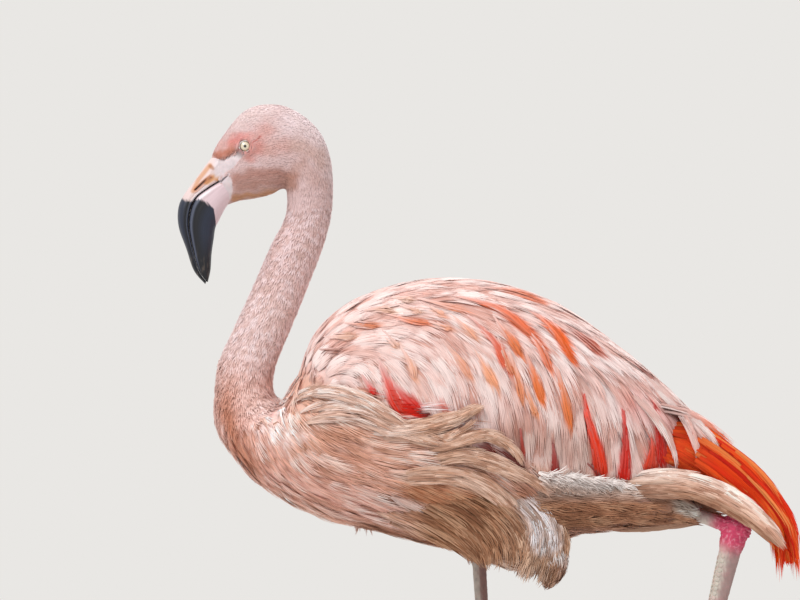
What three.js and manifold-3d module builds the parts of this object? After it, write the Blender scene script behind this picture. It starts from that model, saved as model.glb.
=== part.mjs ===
// A Chilean flamingo as a still, life-size model, in millimetres, +Z up.
// The bird faces -X and its left side is -Y. It stands on its right foot, and the origin is the middle
// of that foot's sole, on the floor. The left leg is lifted, so its ankle is behind the belly.
import * as THREE from "three";
import { mergeVertices } from "three/addons/utils/BufferGeometryUtils.js";
import Module from "manifold-3d";

const wasm = await Module();
wasm.setup();

// ---- Driving dimensions ----
// The body is drawn on a centre plane whose X runs from the breast; SOLE is the sole's middle on it.
const SOLE = { x: 14, y: -2 };
const GAP = 0.35; // left between two pieces that touch
const EYE = { x: -185.4, z: 841.2, y: 11.7, radius: 8 };
const WING_DEPTH = 9; // how thick the folded wing lies on the trunk
const JOINT_HEIGHT = 12; // from the sole to the joint of the toes
const JOINT_BEHIND = 36; // from the sole's middle back to that joint
// shares is a toe's thickness at its pads, from the joint on, and sunk sets how much of it the sole cuts off.
const TOE = { width: 9, height: 8, web: 1.6, sunk: 0.75, shares: [1.15, 0.95, 1.05, 0.85, 0.92, 0.7, 0.5] };
const TOES = [
  { name: "inner", turn: 31, length: 56, web: 0.8 },
  { name: "middle", turn: 0, length: 72, web: 0.72 },
  { name: "outer", turn: -31, length: 64, web: 0.8 },
];
const CLAW_LENGTH = 8.5;
const FLOOR = 300; // size of the block that cuts the sole flat
const STANDING = { ankle: [43, 16, 278], knee: [24, 38, 585] };
const LIFTED = { ankle: [267.5, -44, 488], knee: [-13, -46, 590], tarsus: 265, lean: 13.8 };

// ---- Materials ----
const finish = (color, roughness = 0.85) =>
  new THREE.MeshStandardMaterial({ color, roughness, metalness: 0 });
const COAT_PALE = finish(0xe3bdb0);
const COAT_BREAST = finish(0xd3a68c);
const COAT_WING = finish(0xecd0c4);
const PLUME_ORANGE = finish(0xea5426, 0.75);
const HORN_PINK = finish(0xe0b9ae, 0.45);
const HORN_BLACK = finish(0x1f1f26, 0.35);
const EYE_YELLOW = finish(0xe8dca8, 0.12);
const LEG_GREY = finish(0xa89b90, 0.6);
const ANKLE_PINK = finish(0xcf4a68, 0.6);
const CLAW_DARK = finish(0x3a3330, 0.45);

// ---- Solids ----
function toSolid(geometry) {
  const plain = geometry.index ? geometry.toNonIndexed() : geometry.clone();
  const bare = new THREE.BufferGeometry().setAttribute("position", plain.getAttribute("position"));
  const merged = mergeVertices(bare, 1e-4);
  return new wasm.Manifold(
    new wasm.Mesh({
      numProp: 3,
      vertProperties: merged.attributes.position.array,
      triVerts: new Uint32Array(merged.index.array),
    }),
  );
}

function toGeometry(solid) {
  const mesh = solid.getMesh();
  const geometry = new THREE.BufferGeometry();
  geometry.setAttribute("position", new THREE.BufferAttribute(new Float32Array(mesh.vertProperties), 3));
  geometry.setIndex(new THREE.BufferAttribute(new Uint32Array(mesh.triVerts), 1));
  geometry.computeVertexNormals();
  return geometry;
}

const union = (solids) => solids.reduce((joined, solid) => joined.add(solid));
const without = (solid, others) => others.reduce((left, other) => left.subtract(other), solid);

// The biggest body of a cut solid, because a thin cut can leave crumbs.
function largest(solid) {
  return solid.decompose().reduce((most, body) => (body.volume() > most.volume() ? body : most));
}

// A solid of points and triangles, turned over if its faces point in.
function outward(points, faces) {
  const geometry = new THREE.BufferGeometry().setFromPoints(points);
  geometry.setIndex(faces.flat());
  const solid = toSolid(geometry);
  if (solid.volume() > 0) return solid;
  geometry.setIndex(faces.map(([a, b, c]) => [a, c, b]).flat());
  return toSolid(geometry);
}

// A closed skin over rings of points that all have the same count, with a fan over each end.
function skinRings(rings) {
  const sides = rings[0].length;
  const points = rings.flat();
  const faces = [];
  for (let r = 0; r + 1 < rings.length; r++) {
    for (let s = 0; s < sides; s++) {
      const a = r * sides + s;
      const b = r * sides + ((s + 1) % sides);
      faces.push([a, b, a + sides], [b, b + sides, a + sides]);
    }
  }
  for (const [ring, last] of [[0, false], [rings.length - 1, true]]) {
    const centre = rings[ring].reduce((sum, p) => sum.add(p), new THREE.Vector3()).divideScalar(sides);
    const middle = points.push(centre) - 1;
    for (let s = 0; s < sides; s++) {
      const a = ring * sides + s;
      const b = ring * sides + ((s + 1) % sides);
      faces.push(last ? [middle, a, b] : [middle, b, a]);
    }
  }
  return outward(points, faces);
}

// Catmull-Rom through rows of numbers: every column is read at the place t, counted in rows.
function readRows(rows, t) {
  const at = THREE.MathUtils.clamp(t, 0, rows.length - 1);
  const i = Math.min(Math.floor(at), rows.length - 2);
  const f = at - i;
  const row = (k) => rows[THREE.MathUtils.clamp(k, 0, rows.length - 1)];
  return rows[i].map((_, c) => {
    const [p0, p1, p2, p3] = [row(i - 1)[c], row(i)[c], row(i + 1)[c], row(i + 2)[c]];
    const v0 = (p2 - p0) / 2;
    const v1 = (p3 - p1) / 2;
    return (2 * (p1 - p2) + v0 + v1) * f ** 3 + (3 * (p2 - p1) - 2 * v0 - v1) * f ** 2 + v0 * f + p1;
  });
}

// cos and sin raised to a power: 1 keeps a circle, and less makes it squarer.
const squared = (value, power) => Math.sign(value) * Math.abs(value) ** power;

// A ring across the centre plane, from a low point to a high one, both x and z.
// full above 0 moves the widest place up, and flat below 1 squares the ring's lower half.
function planeRing([lowX, lowZ, highX, highZ, half, full = 0, flat = 1], sides, grow = 0) {
  const middle = new THREE.Vector3((lowX + highX) / 2, 0, (lowZ + highZ) / 2);
  const up = new THREE.Vector3(highX - lowX, 0, highZ - lowZ).divideScalar(2);
  const reach = up.length();
  up.normalize();
  const points = [];
  for (let s = 0; s < sides; s++) {
    const angle = (2 * Math.PI * s) / sides;
    const power = Math.cos(angle) < 0 ? flat : 1;
    const height = squared(Math.cos(angle), power);
    const wide = squared(Math.sin(angle), power) * (1 + full * height);
    const point = middle.clone().addScaledVector(up, height * (reach + grow));
    points.push(point.setY(wide * (half + grow)));
  }
  return points;
}

function planeLoft(rows, from, to, { rings, sides, grow = 0 }) {
  const made = [];
  for (let r = 0; r <= rings; r++) {
    made.push(planeRing(readRows(rows, from + ((to - from) * r) / rings), sides, grow));
  }
  return skinRings(made);
}

// A tube through rows of x, y, z, half depth in the side view and half width along Y.
function limb(rows, { rings = 7, sides = 10, grow = 0 } = {}) {
  const made = [];
  const step = 0.02;
  for (let r = 0; r <= rings; r++) {
    const t = ((rows.length - 1) * r) / rings;
    const [x, y, z, deep, wide] = readRows(rows, t);
    const before = new THREE.Vector3(...readRows(rows, t - step));
    const along = new THREE.Vector3(...readRows(rows, t + step)).sub(before).normalize();
    const sideways = new THREE.Vector3(0, 1, 0).addScaledVector(along, -along.y).normalize();
    const upwards = new THREE.Vector3().crossVectors(sideways, along);
    const ring = [];
    for (let s = 0; s < sides; s++) {
      const angle = (2 * Math.PI * s) / sides;
      ring.push(
        new THREE.Vector3(x, y, z)
          .addScaledVector(upwards, Math.cos(angle) * (deep + grow))
          .addScaledVector(sideways, Math.sin(angle) * (wide + grow)),
      );
    }
    made.push(ring);
  }
  return skinRings(made);
}

function ellipsoid([x, y, z], [rx, ry, rz], { lean = 0, grow = 0, around = 9, rows = 6 } = {}) {
  const geometry = new THREE.SphereGeometry(1, around, rows).rotateX(Math.PI / 2);
  geometry.scale(rx + grow, ry + grow, rz + grow).rotateY(THREE.MathUtils.degToRad(lean));
  return toSolid(geometry.translate(x, y, z));
}

const block = (size, centre) => toSolid(new THREE.BoxGeometry(...size).translate(...centre));
const mirrored = (rows) => rows.map(([x, y, ...rest]) => [x, -y, ...rest]);

// ---- Head, neck and trunk: sections from the throat or belly to the crown or back ----
const SECTIONS = [
  // low x, z, high x, z, half width, fullness
  [-203, 787, -217, 832, 12.5, -0.1], // 0 at the bill
  [-192, 790.5, -209, 848, 16.5, -0.1],
  [-176, 793, -186, 875, 19.5, -0.1],
  [-162, 796.5, -159, 881, 21.5, -0.08], // 3 crown
  [-153, 801.5, -136, 873, 21.5, 0],
  [-148, 801, -117, 856, 20.5, 0],
  [-147, 796, -107, 833, 19.5, 0],
  [-147, 787, -104, 806, 18.5, 0], // 7 nape
  [-150, 772, -106, 776, 18.5, 0],
  [-163, 747, -115, 743, 19.5, 0],
  [-183, 702, -138, 684, 21.5, 0], // 10
  [-197, 672, -152, 651, 24, 0],
  [-211, 640, -159, 629, 29, 0],
  [-215, 611, -158, 611, 36, 0.05], // 13
  [-215, 584, -149, 603, 46, 0.05],
  [-204, 560, -147, 605, 56, 0], // 15 root of the neck
  [-177, 529, -141, 613, 66, 0],
  [-140, 506, -133, 637, 76, -0.05], // 17 breast
  [-107, 492, -118, 673, 83, -0.08],
  [-66, 483, -80, 703, 88, -0.1],
  [-14, 470, -20, 719, 91, -0.1], // 20 deepest body
  [42, 460, 42, 717, 90, -0.08],
  [93, 468, 102, 697, 84, -0.04],
  [144, 485, 158, 659, 74, 0], // 23
  [190, 489, 205, 619, 59, 0],
  [226, 495, 236, 588, 42, 0], // 25 rump
  [250, 510, 260, 562, 24, 0],
];
const LAST = SECTIONS.length - 1;
const CUTS = { neckTop: 7.8, neckUpper: 9.9, neckMiddle: 12, neckRoot: 14.2 };
const SLIT = 0.022; // half of a cut, counted in sections

const body = (from, to, options) => planeLoft(SECTIONS, from, to, options);
const wholeTrunk = (grow = 0) => body(CUTS.neckRoot + SLIT, LAST, { rings: 17, sides: 20, grow });

// The locks of the flank that hang beside the standing leg.
const FLANK = [
  [-6, -46, 508, 34, 24],
  [48, -50, 484, 29, 21],
  [86, -50, 469, 26, 16],
  [98, -48, 452, 14, 9],
  [94, -47, 437, 3, 3],
];

// ---- Wings and plumes ----
// Outline of the folded wing from the side, x and z: along its lower edge and back above the body.
const WING_EDGE = [
  [-112, 652],
  [-62, 612],
  [-14, 586],
  [51, 552],
  [107, 538],
  [163, 529],
  [216, 531],
  [266, 548],
  [300, 640],
  [140, 780],
  [-70, 780],
  [-150, 716],
];

function wingPrism(side, grow) {
  const outline = new THREE.Shape();
  const lower = WING_EDGE.slice(0, 8).map(([x, z]) => new THREE.Vector2(x - grow, z - grow));
  outline.moveTo(lower[0].x, lower[0].y);
  outline.splineThru(lower.slice(1));
  for (const [x, z] of WING_EDGE.slice(8)) outline.lineTo(x, z);
  const reach = 160;
  const extrusion = { depth: reach, bevelEnabled: false, curveSegments: 3 };
  const geometry = new THREE.ExtrudeGeometry(outline, extrusion);
  geometry.rotateX(Math.PI / 2);
  const apart = GAP / 2 - grow;
  return toSolid(geometry.translate(0, side < 0 ? -apart : reach + apart, 0));
}

const wingShell = (side, { out = 0, depth = WING_DEPTH, grow = 0 } = {}) =>
  wholeTrunk(out).subtract(wholeTrunk(-depth)).intersect(wingPrism(side, grow));

// The long plumes that droop over the tail.
const PLUMES = [
  [222, -38, 566, 27, 19],
  [262, -34, 539, 24, 15],
  [291, -28, 512, 19, 11],
  [311, -23, 482, 15, 8],
  [320, -21, 455, 9, 5],
  [324, -21, 437, 3, 2.5],
];

const TAIL = [
  [214, 0, 540, 24, 28],
  [250, 0, 520, 14, 24],
  [284, 0, 501, 11, 16],
  [307, 0, 483, 8, 9],
  [317, 0, 467, 3, 4],
];

// ---- Bill ----
// Both halves are sections from the mouth line to the bill's outer edge.
const MOUTH = [
  [-196, 817],
  [-206, 811],
  [-220, 802.5],
  [-231, 794],
  [-236.5, 783],
  [-238.3, 767],
  [-234, 744],
  [-229, 726],
  [-222, 716],
];
const UPPER_EDGE = [
  [-209, 836],
  [-217, 831],
  [-232, 811],
  [-244, 794.5],
  [-248.3, 782],
  [-247.5, 766],
  [-240.5, 746],
  [-233.5, 726],
  [-223, 713.5],
];
const LOWER_EDGE = [
  [-190, 797],
  [-202, 787],
  [-207, 779],
  [-210.5, 772],
  [-213.5, 766],
  [-215, 756],
  [-217, 742],
  [-218, 727],
  [-220.5, 715.5],
];
const UPPER_HALF = [12, 12.5, 10.5, 10, 10.5, 10.5, 9, 6.5, 2.5];
const LOWER_HALF = [11.5, 12.5, 13, 13, 12.5, 11.5, 9.5, 7, 2.5];

const billRows = (edge, halves) =>
  MOUTH.map(([x, z], i) => {
    const away = new THREE.Vector2(edge[i][0] - x, edge[i][1] - z).normalize().multiplyScalar(GAP / 2);
    return [x + away.x, z + away.y, ...edge[i], halves[i], -0.15, 0.5];
  });
const bill = (edge, halves, grow = 0) =>
  planeLoft(billRows(edge, halves), 0, MOUTH.length - 1, { rings: 13, sides: 12, grow });

// ---- Legs and feet ----
const toePlace = (toe, along, height) => {
  const turn = THREE.MathUtils.degToRad(toe.turn);
  return [-Math.cos(turn) * along, Math.sin(turn) * along, height];
};

// How far a hanging foot's toes have dropped behind their own line, at a distance from the joint.
const drop = (along, curl) => (curl * along * along) / 100;

function toeSolid(toe, curl) {
  const rows = [];
  TOE.shares.forEach((share, i) => {
    const along = (toe.length * i) / (TOE.shares.length - 1);
    const deep = (TOE.height / 2) * share;
    const height = deep * TOE.sunk - drop(along, curl);
    rows.push([...toePlace(toe, along, height), deep, (TOE.width / 2) * share]);
  });
  return limb(rows, { rings: 5, sides: 6 });
}

function clawRows(toe, curl) {
  const from = toe.length - 2.5;
  const height = TOE.height * 0.24;
  const shares = [0, 0.5, 1];
  const sizes = [2, 1.6, 0.6];
  return shares.map((share, i) => {
    const along = from + CLAW_LENGTH * share;
    return [...toePlace(toe, along, height * (1 - share * 0.4) - drop(along, curl)), sizes[i], sizes[i]];
  });
}

const clawSolid = (toe, curl, grow = 0) => limb(clawRows(toe, curl), { rings: 3, sides: 5, grow });

const WEB_HOLLOW = 0.22; // how far the web's front edge is drawn back between two toes
const WEB_RISE = 0.8; // the web's underside above the sole

// The skin between two toes, as a thin curved sheet with a hollow front edge.
function webSolid(first, second, curl) {
  const rows = 3;
  const across = 3;
  const top = [];
  const bottom = [];
  for (let r = 0; r <= rows; r++) {
    for (let c = 0; c <= across; c++) {
      const side = c / across;
      const reach = THREE.MathUtils.lerp(first.length * first.web, second.length * second.web, side);
      const along = (reach * (1 - WEB_HOLLOW * Math.sin(Math.PI * side)) * r) / rows;
      const turn = THREE.MathUtils.lerp(first.turn, second.turn, side);
      const [x, y] = toePlace({ turn }, Math.max(along, 0.5), 0);
      const height = WEB_RISE - drop(along, curl);
      top.push(new THREE.Vector3(x, y, height + TOE.web));
      bottom.push(new THREE.Vector3(x, y, height));
    }
  }
  const rim = [];
  for (let c = 0; c <= across; c++) rim.push(c);
  for (let r = 1; r <= rows; r++) rim.push(r * (across + 1) + across);
  for (let c = across - 1; c >= 0; c--) rim.push(rows * (across + 1) + c);
  for (let r = rows - 1; r > 0; r--) rim.push(r * (across + 1));
  const points = [...top, ...bottom];
  const under = top.length;
  const faces = [];
  for (let r = 0; r < rows; r++) {
    for (let c = 0; c < across; c++) {
      const a = r * (across + 1) + c;
      const b = a + across + 1;
      faces.push([a, b, a + 1], [a + 1, b, b + 1]);
      faces.push([under + a, under + a + 1, under + b], [under + a + 1, under + b + 1, under + b]);
    }
  }
  rim.forEach((a, i) => {
    const b = rim[(i + 1) % rim.length];
    faces.push([a, b, under + a], [b, under + b, under + a]);
  });
  return outward(points, faces);
}

// The joint of the toes, the pad under it and the small hind toe.
function footRear(grow = 0) {
  const joint = ellipsoid([0, 0, JOINT_HEIGHT], [9, 7.5, 9], { grow });
  const pad = ellipsoid([-3, 0, TOE.height / 2], [11, 8, TOE.height / 2 + 0.6], { grow });
  const hind = [
    [1, 0, 10, 5, 5],
    [7, 0, 8, 3.6, 3.2],
    [13, 0, 5, 2.4, 2.2],
  ];
  return union([joint, pad, limb(hind, { rings: 3, sides: 6, grow })]);
}

// A foot about its own joint: the toes point along -X and the sole faces down. inward is 1 where the
// bird's middle is on +Y.
function footSolids({ inward, spread = 1, curl = 0, flat = true }) {
  const toes = TOES.map((toe) => ({ ...toe, turn: toe.turn * spread * inward }));
  const webs = [webSolid(toes[0], toes[1], curl), webSolid(toes[1], toes[2], curl)];
  let foot = union([footRear(), ...toes.map((toe) => toeSolid(toe, curl)), ...webs]);
  if (flat) foot = foot.subtract(block([FLOOR, FLOOR, FLOOR], [0, 0, -FLOOR / 2]));
  foot = without(foot, toes.map((toe) => clawSolid(toe, curl, GAP)));
  return { foot: largest(foot), claws: toes.map((toe) => [toe.name, clawSolid(toe, curl)]) };
}

// A straight bone between two joints, from the share `from` of its length on, with its sizes along it.
function bone(start, end, deeps, wides, from = 0) {
  const rows = deeps.map((deep, i) => {
    const share = from + ((1 - from) * i) / (deeps.length - 1);
    const place = start.map((value, axis) => THREE.MathUtils.lerp(value, end[axis], share));
    return [...place, deep, wides[i]];
  });
  return limb(rows, { rings: 5, sides: 8 });
}

// The swollen ankle: a knob round the joint, and a longer one below it that runs into the tarsus.
const ANKLE = { knob: [15.5, 11, 14.5], lower: [12.5, 9.5, 20], apart: 11 };

function ankleSolid([x, y, z], lean, grow = 0) {
  const tilt = THREE.MathUtils.degToRad(lean);
  const below = [x - ANKLE.apart * Math.sin(tilt), y, z - ANKLE.apart * Math.cos(tilt)];
  return ellipsoid([x, y, z], ANKLE.knob, { lean, grow }).add(ellipsoid(below, ANKLE.lower, { lean, grow }));
}

const TARSUS = { deep: [11, 8.6, 6.8, 6, 6.8], wide: [7, 5.6, 4.8, 4.7, 5.6] };
const SHANK = { deep: [7, 6.2, 6, 7.5], wide: [6.2, 5.4, 5.2, 6.5] };

const group = new THREE.Group();
group.position.set(-SOLE.x, -SOLE.y, 0);

function place(name, solid, material) {
  const mesh = new THREE.Mesh(toGeometry(largest(solid)), material);
  mesh.name = name;
  group.add(mesh);
}

// ---- Head and bill ----
const eye = (side, grow = 0) =>
  ellipsoid([EYE.x, side * EYE.y, EYE.z], Array(3).fill(EYE.radius), { grow, around: 12, rows: 8 });
const headCuts = [
  bill(UPPER_EDGE, UPPER_HALF, GAP),
  bill(LOWER_EDGE, LOWER_HALF, GAP),
  eye(-1, GAP),
  eye(1, GAP),
];
place("head", without(body(0, CUTS.neckTop - SLIT, { rings: 14, sides: 16 }), headCuts), COAT_PALE);
place("upper_bill", bill(UPPER_EDGE, UPPER_HALF), HORN_PINK);
place("lower_bill", bill(LOWER_EDGE, LOWER_HALF), HORN_BLACK);

// ---- Neck ----
const neckLengths = [
  ["neck_upper", CUTS.neckTop, CUTS.neckUpper],
  ["neck_middle", CUTS.neckUpper, CUTS.neckMiddle],
  ["neck_lower", CUTS.neckMiddle, CUTS.neckRoot],
];
for (const [name, from, to] of neckLengths) {
  place(name, body(from + SLIT, to - SLIT, { rings: 5, sides: 12 }), COAT_PALE);
}

// ---- Trunk, tail and lifted thigh ----
const pockets = [-1, 1].map((side) => wingShell(side, { out: 3, depth: WING_DEPTH + GAP, grow: GAP }));
const flank = (side, grow = 0) => limb(side < 0 ? FLANK : mirrored(FLANK), { grow });
const outside = union([wholeTrunk(GAP), flank(-1, GAP), flank(1, GAP)]);
const thighLeft = limb(
  [
    [40, -46, 540, 44, 24],
    [110, -50, 520, 38, 22],
    [170, -50, 514, 27, 18],
    [210, -48, 509, 17, 13],
    [232, -45, 502, 9.5, 8.5],
  ],
  { rings: 9 },
);
const thighRight = limb([
  [29, 32, 500, 22, 18],
  [31, 30, 470, 16, 13],
  [32.4, 28.3, 450, 8.5, 7.5],
]);
place("trunk", without(wholeTrunk(), pockets), COAT_BREAST);
place("tail", limb(TAIL).subtract(outside), COAT_WING);
const besideTail = outside.add(limb(TAIL, { grow: GAP }));
place("thigh_left", thighLeft.subtract(outside), COAT_PALE);
place("thigh_right", thighRight.subtract(outside), COAT_PALE);

// ---- What each side has ----
const plumes = (side) => limb(side < 0 ? PLUMES : mirrored(PLUMES));
for (const [side, sideName] of [[-1, "left"], [1, "right"]]) {
  place(`eye_${sideName}`, eye(side), EYE_YELLOW);
  place(`wing_${sideName}`, wingShell(side), COAT_WING);
  place(`flank_${sideName}`, flank(side).subtract(wholeTrunk(GAP)), COAT_BREAST);
  place(`plumes_${sideName}`, plumes(side).subtract(besideTail), PLUME_ORANGE);
}

// ---- Legs ----
const lean = THREE.MathUtils.degToRad(LIFTED.lean);
const liftedFoot = [
  LIFTED.ankle[0] - LIFTED.tarsus * Math.sin(lean),
  LIFTED.ankle[1],
  LIFTED.ankle[2] - LIFTED.tarsus * Math.cos(lean),
];
const standingFoot = [SOLE.x + JOINT_BEHIND, SOLE.y, JOINT_HEIGHT];
const standingLean = THREE.MathUtils.radToDeg(
  Math.atan2(STANDING.ankle[0] - standingFoot[0], STANDING.ankle[2] - standingFoot[2]),
);
const legs = [
  {
    name: "left",
    joints: LIFTED,
    foot: liftedFoot,
    lean: LIFTED.lean,
    shankFrom: 0.84,
    thigh: thighLeft,
    shape: { inward: 1, spread: 0.35, curl: 0.22, flat: false },
    turn: LIFTED.lean - 90,
  },
  {
    name: "right",
    joints: STANDING,
    foot: standingFoot,
    lean: standingLean,
    shankFrom: 0.36,
    thigh: thighRight,
    shape: { inward: -1 },
    turn: 0,
  },
];
for (const leg of legs) {
  const knob = ankleSolid(leg.joints.ankle, leg.lean, GAP);
  const shank = bone(leg.joints.knee, leg.joints.ankle, SHANK.deep, SHANK.wide, leg.shankFrom);
  const { foot, claws } = footSolids(leg.shape);
  const settle = (solid) =>
    solid.translate(0, 0, -JOINT_HEIGHT).rotate([0, leg.turn, 0]).translate(leg.foot);
  const placedFoot = settle(foot);
  const tarsus = bone(leg.joints.ankle, leg.foot, TARSUS.deep, TARSUS.wide);
  place(`shank_${leg.name}`, without(shank, [knob, outside, leg.thigh]), LEG_GREY);
  place(`ankle_${leg.name}`, ankleSolid(leg.joints.ankle, leg.lean), ANKLE_PINK);
  place(`tarsus_${leg.name}`, without(tarsus, [knob, settle(footRear(GAP))]), LEG_GREY);
  place(`foot_${leg.name}`, placedFoot, LEG_GREY);
  for (const [toe, claw] of claws) place(`claw_${leg.name}_${toe}`, settle(claw), CLAW_DARK);
}

export default group;
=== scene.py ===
"""A Chilean flamingo as a still, life-size museum model: skin, feathers, bill, eyes and legs.

All sizes in this script are millimetres. The bird faces -X, its left side is -Y and +Z is up. Meshes
are turned into metres when they are made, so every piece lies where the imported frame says.
"""
from __future__ import annotations

import logging
import math
from dataclasses import dataclass, field, replace
from enum import Enum
from typing import Callable, Sequence
import bpy
import numpy as np
from mathutils import Matrix, Vector
from mathutils.kdtree import KDTree


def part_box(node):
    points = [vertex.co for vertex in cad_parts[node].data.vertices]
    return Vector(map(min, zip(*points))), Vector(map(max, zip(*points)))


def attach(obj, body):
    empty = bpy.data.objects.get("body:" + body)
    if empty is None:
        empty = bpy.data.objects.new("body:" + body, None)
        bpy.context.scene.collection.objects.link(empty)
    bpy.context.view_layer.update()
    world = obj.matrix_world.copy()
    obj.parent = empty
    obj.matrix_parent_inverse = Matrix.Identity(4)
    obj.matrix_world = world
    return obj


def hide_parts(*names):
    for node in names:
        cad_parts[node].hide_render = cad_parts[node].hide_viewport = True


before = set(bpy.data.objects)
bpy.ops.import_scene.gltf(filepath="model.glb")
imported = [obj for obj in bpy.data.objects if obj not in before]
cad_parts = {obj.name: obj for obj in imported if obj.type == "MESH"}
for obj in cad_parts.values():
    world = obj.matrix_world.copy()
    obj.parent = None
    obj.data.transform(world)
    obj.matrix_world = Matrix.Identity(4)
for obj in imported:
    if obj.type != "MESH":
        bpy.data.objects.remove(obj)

log = logging.getLogger("flamingo")

Array = np.ndarray
MM = 0.001  # metres in a millimetre
BAKE_MAP = "OFBake"
BAKE_PATCH = 0.003  # how far one tuft reaches on the bake map
SIDES = {-1: "left", 1: "right"}  # the bird's sides, by the sign of Y
TINT = "tint"  # colour attribute that holds the markings, with painted light and shade
LAY = "lay"  # vector attribute: place across a strand, place along it, its own number
WAVES = 7  # crossing waves in one pattern of soft noise
RIDGE = 0.35  # height of a strand's ridge, as a share of its half width
EVEN_STEPS = (0.7548776662466927, 0.5698402909980532)  # steps of the sequence that spreads roots evenly
TRACE_STEPS = 6  # stretches in the line of a tuft that follows the skin
AT_ONCE = 400  # places that are looked up on the body in one go
DRAWN_PLACES = 9  # places on the line of a tuft drawn in space
NEAR_BODY = (13, 26)  # sections of the body that drawn tufts can root on


# ---------------------------------------------------------------- numbers

def linear(hex_text: str) -> Array:
    """Turn an sRGB hex colour into linear red, green and blue.

    Args:
        hex_text: Six hex digits, such as "e3bdb0".

    Returns:
        Three linear numbers.
    """
    srgb = np.array([int(hex_text[i:i + 2], 16) / 255 for i in (0, 2, 4)])
    return np.where(srgb <= 0.04045, srgb / 12.92, ((srgb + 0.055) / 1.055) ** 2.4)


def smooth(low: float, high: float, value: Array) -> Array:
    """Rise softly from 0 at `low` to 1 at `high`.

    Args:
        low: Where the rise starts.
        high: Where it ends; it may be below `low`.
        value: The numbers read.

    Returns:
        Numbers from 0 to 1.
    """
    share = np.clip((value - low) / (high - low), 0, 1)
    return share * share * (3 - 2 * share)


def unit(vectors: Array) -> Array:
    """Give vectors in the last axis a length of 1."""
    return vectors / np.maximum(np.linalg.norm(vectors, axis=-1, keepdims=True), 1e-9)


def dot(first: Array, second: Array) -> Array:
    """Scalar product over the last axis."""
    return np.sum(first * second, axis=-1)


def read_rows(rows: Array, t: Array) -> Array:
    """Read rows of numbers as one Catmull-Rom curve.

    Args:
        rows: One row for each whole number of t.
        t: Places on the curve, counted in rows.

    Returns:
        The row of numbers at each place.
    """
    last = len(rows) - 1
    at = np.clip(t, 0, last)
    i = np.minimum(at.astype(int), last - 1)
    f = (at - i)[..., None]
    p0, p1, p2, p3 = (rows[np.clip(i + k, 0, last)] for k in (-1, 0, 1, 2))
    v0, v1 = (p2 - p0) / 2, (p3 - p1) / 2
    return (2 * (p1 - p2) + v0 + v1) * f**3 + (3 * (p2 - p1) - 2 * v0 - v1) * f**2 + v0 * f + p1


def away_from_line(x: Array, z: Array, line: Sequence[tuple[float, float]]) -> tuple[Array, Array]:
    """Measure how far points lie from a line of straight stretches, seen from the side.

    Args:
        x: Where the points are along the bird.
        z: How high they are.
        line: Corners of the line.

    Returns:
        The distance to the line, and the nearest place on it from 0 to 1.
    """
    best = np.full(np.shape(x), np.inf)
    place = np.zeros(np.shape(x))
    count = len(line) - 1
    for i, ((x0, z0), (x1, z1)) in enumerate(zip(line, line[1:])):
        dx, dz = x1 - x0, z1 - z0
        share = np.clip(((x - x0) * dx + (z - z0) * dz) / (dx * dx + dz * dz), 0, 1)
        distance = np.hypot(x - x0 - share * dx, z - z0 - share * dz)
        nearer = distance < best
        best = np.where(nearer, distance, best)
        place = np.where(nearer, (i + share) / count, place)
    return best, place


def gap_to(x: Array, z: Array, *corners: tuple[float, float]) -> Array:
    """Measure only the distance from points to a line given by its corners."""
    return away_from_line(x, z, corners)[0]


def wobble(points: Array, size: float, seed: int = 0) -> Array:
    """Soft noise in space, made of a few crossing waves.

    Args:
        points: Places in the last axis.
        size: Distance between crests, in millimetres.
        seed: Picks another pattern.

    Returns:
        Numbers about from -1 to 1.
    """
    rng = np.random.default_rng(seed)
    total = np.zeros(points.shape[:-1])
    for _ in range(WAVES):
        heading = unit(rng.normal(size=3)) * 2 * math.pi / (size * rng.uniform(0.7, 1.6))
        total += np.sin(points @ heading + rng.uniform(0, 2 * math.pi))
    return total / math.sqrt(WAVES) * 0.9


def mesh_of(first: Array, second: Array) -> tuple[Array, Array]:
    """Cross two rows of numbers into two grids, the first down and the second across."""
    return np.meshgrid(first, second, indexing="ij")


def circle(count: int) -> Array:
    """Angles of evenly spaced places round a ring."""
    return np.arange(count) * 2 * math.pi / count


# ---------------------------------------------------------------- surfaces

Field = Callable[[Array, Array], Array]


def nowhere(t: Array, a: Array) -> Array:
    """A field that is 0 everywhere."""
    return np.zeros(np.broadcast(t, a).shape)


@dataclass
class Surface:
    """A closed tube of skin, read by t along it and by the angle a round it, with a = 0 on top."""

    rows: Array
    depth: Field = nowhere  # how far the skin lies inside the outline

    def outline(self, t: Array, a: Array, inset: Array) -> Array:
        """Place points on the tube; each kind of tube has its own rule.

        Args:
            t: Places along the tube, counted in rows.
            a: Angles round it.
            inset: How far inside the rows' outline the points lie.

        Returns:
            The points.
        """
        raise NotImplementedError

    def point(self, t: Array, a: Array) -> Array:
        """Place points on the skin itself."""
        return self.outline(t, a, self.depth(t, a))

    def lean(self, t: Array, a: Array) -> tuple[Array, Array, Array]:
        """Measure how the skin runs at places on it.

        Args:
            t: Places along the tube.
            a: Angles round it.

        Returns:
            The change with t, the change with a, and the normal that points out.
        """
        step = 0.02
        low_t, high_t = np.maximum(t - step, 0), np.minimum(t + step, len(self.rows) - 1)
        by_t = (self.point(high_t, a) - self.point(low_t, a)) / (high_t - low_t)[..., None]
        by_a = (self.point(t, a + step) - self.point(t, a - step)) / (2 * step)
        return by_t, by_a, unit(np.cross(by_t, by_a))


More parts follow.
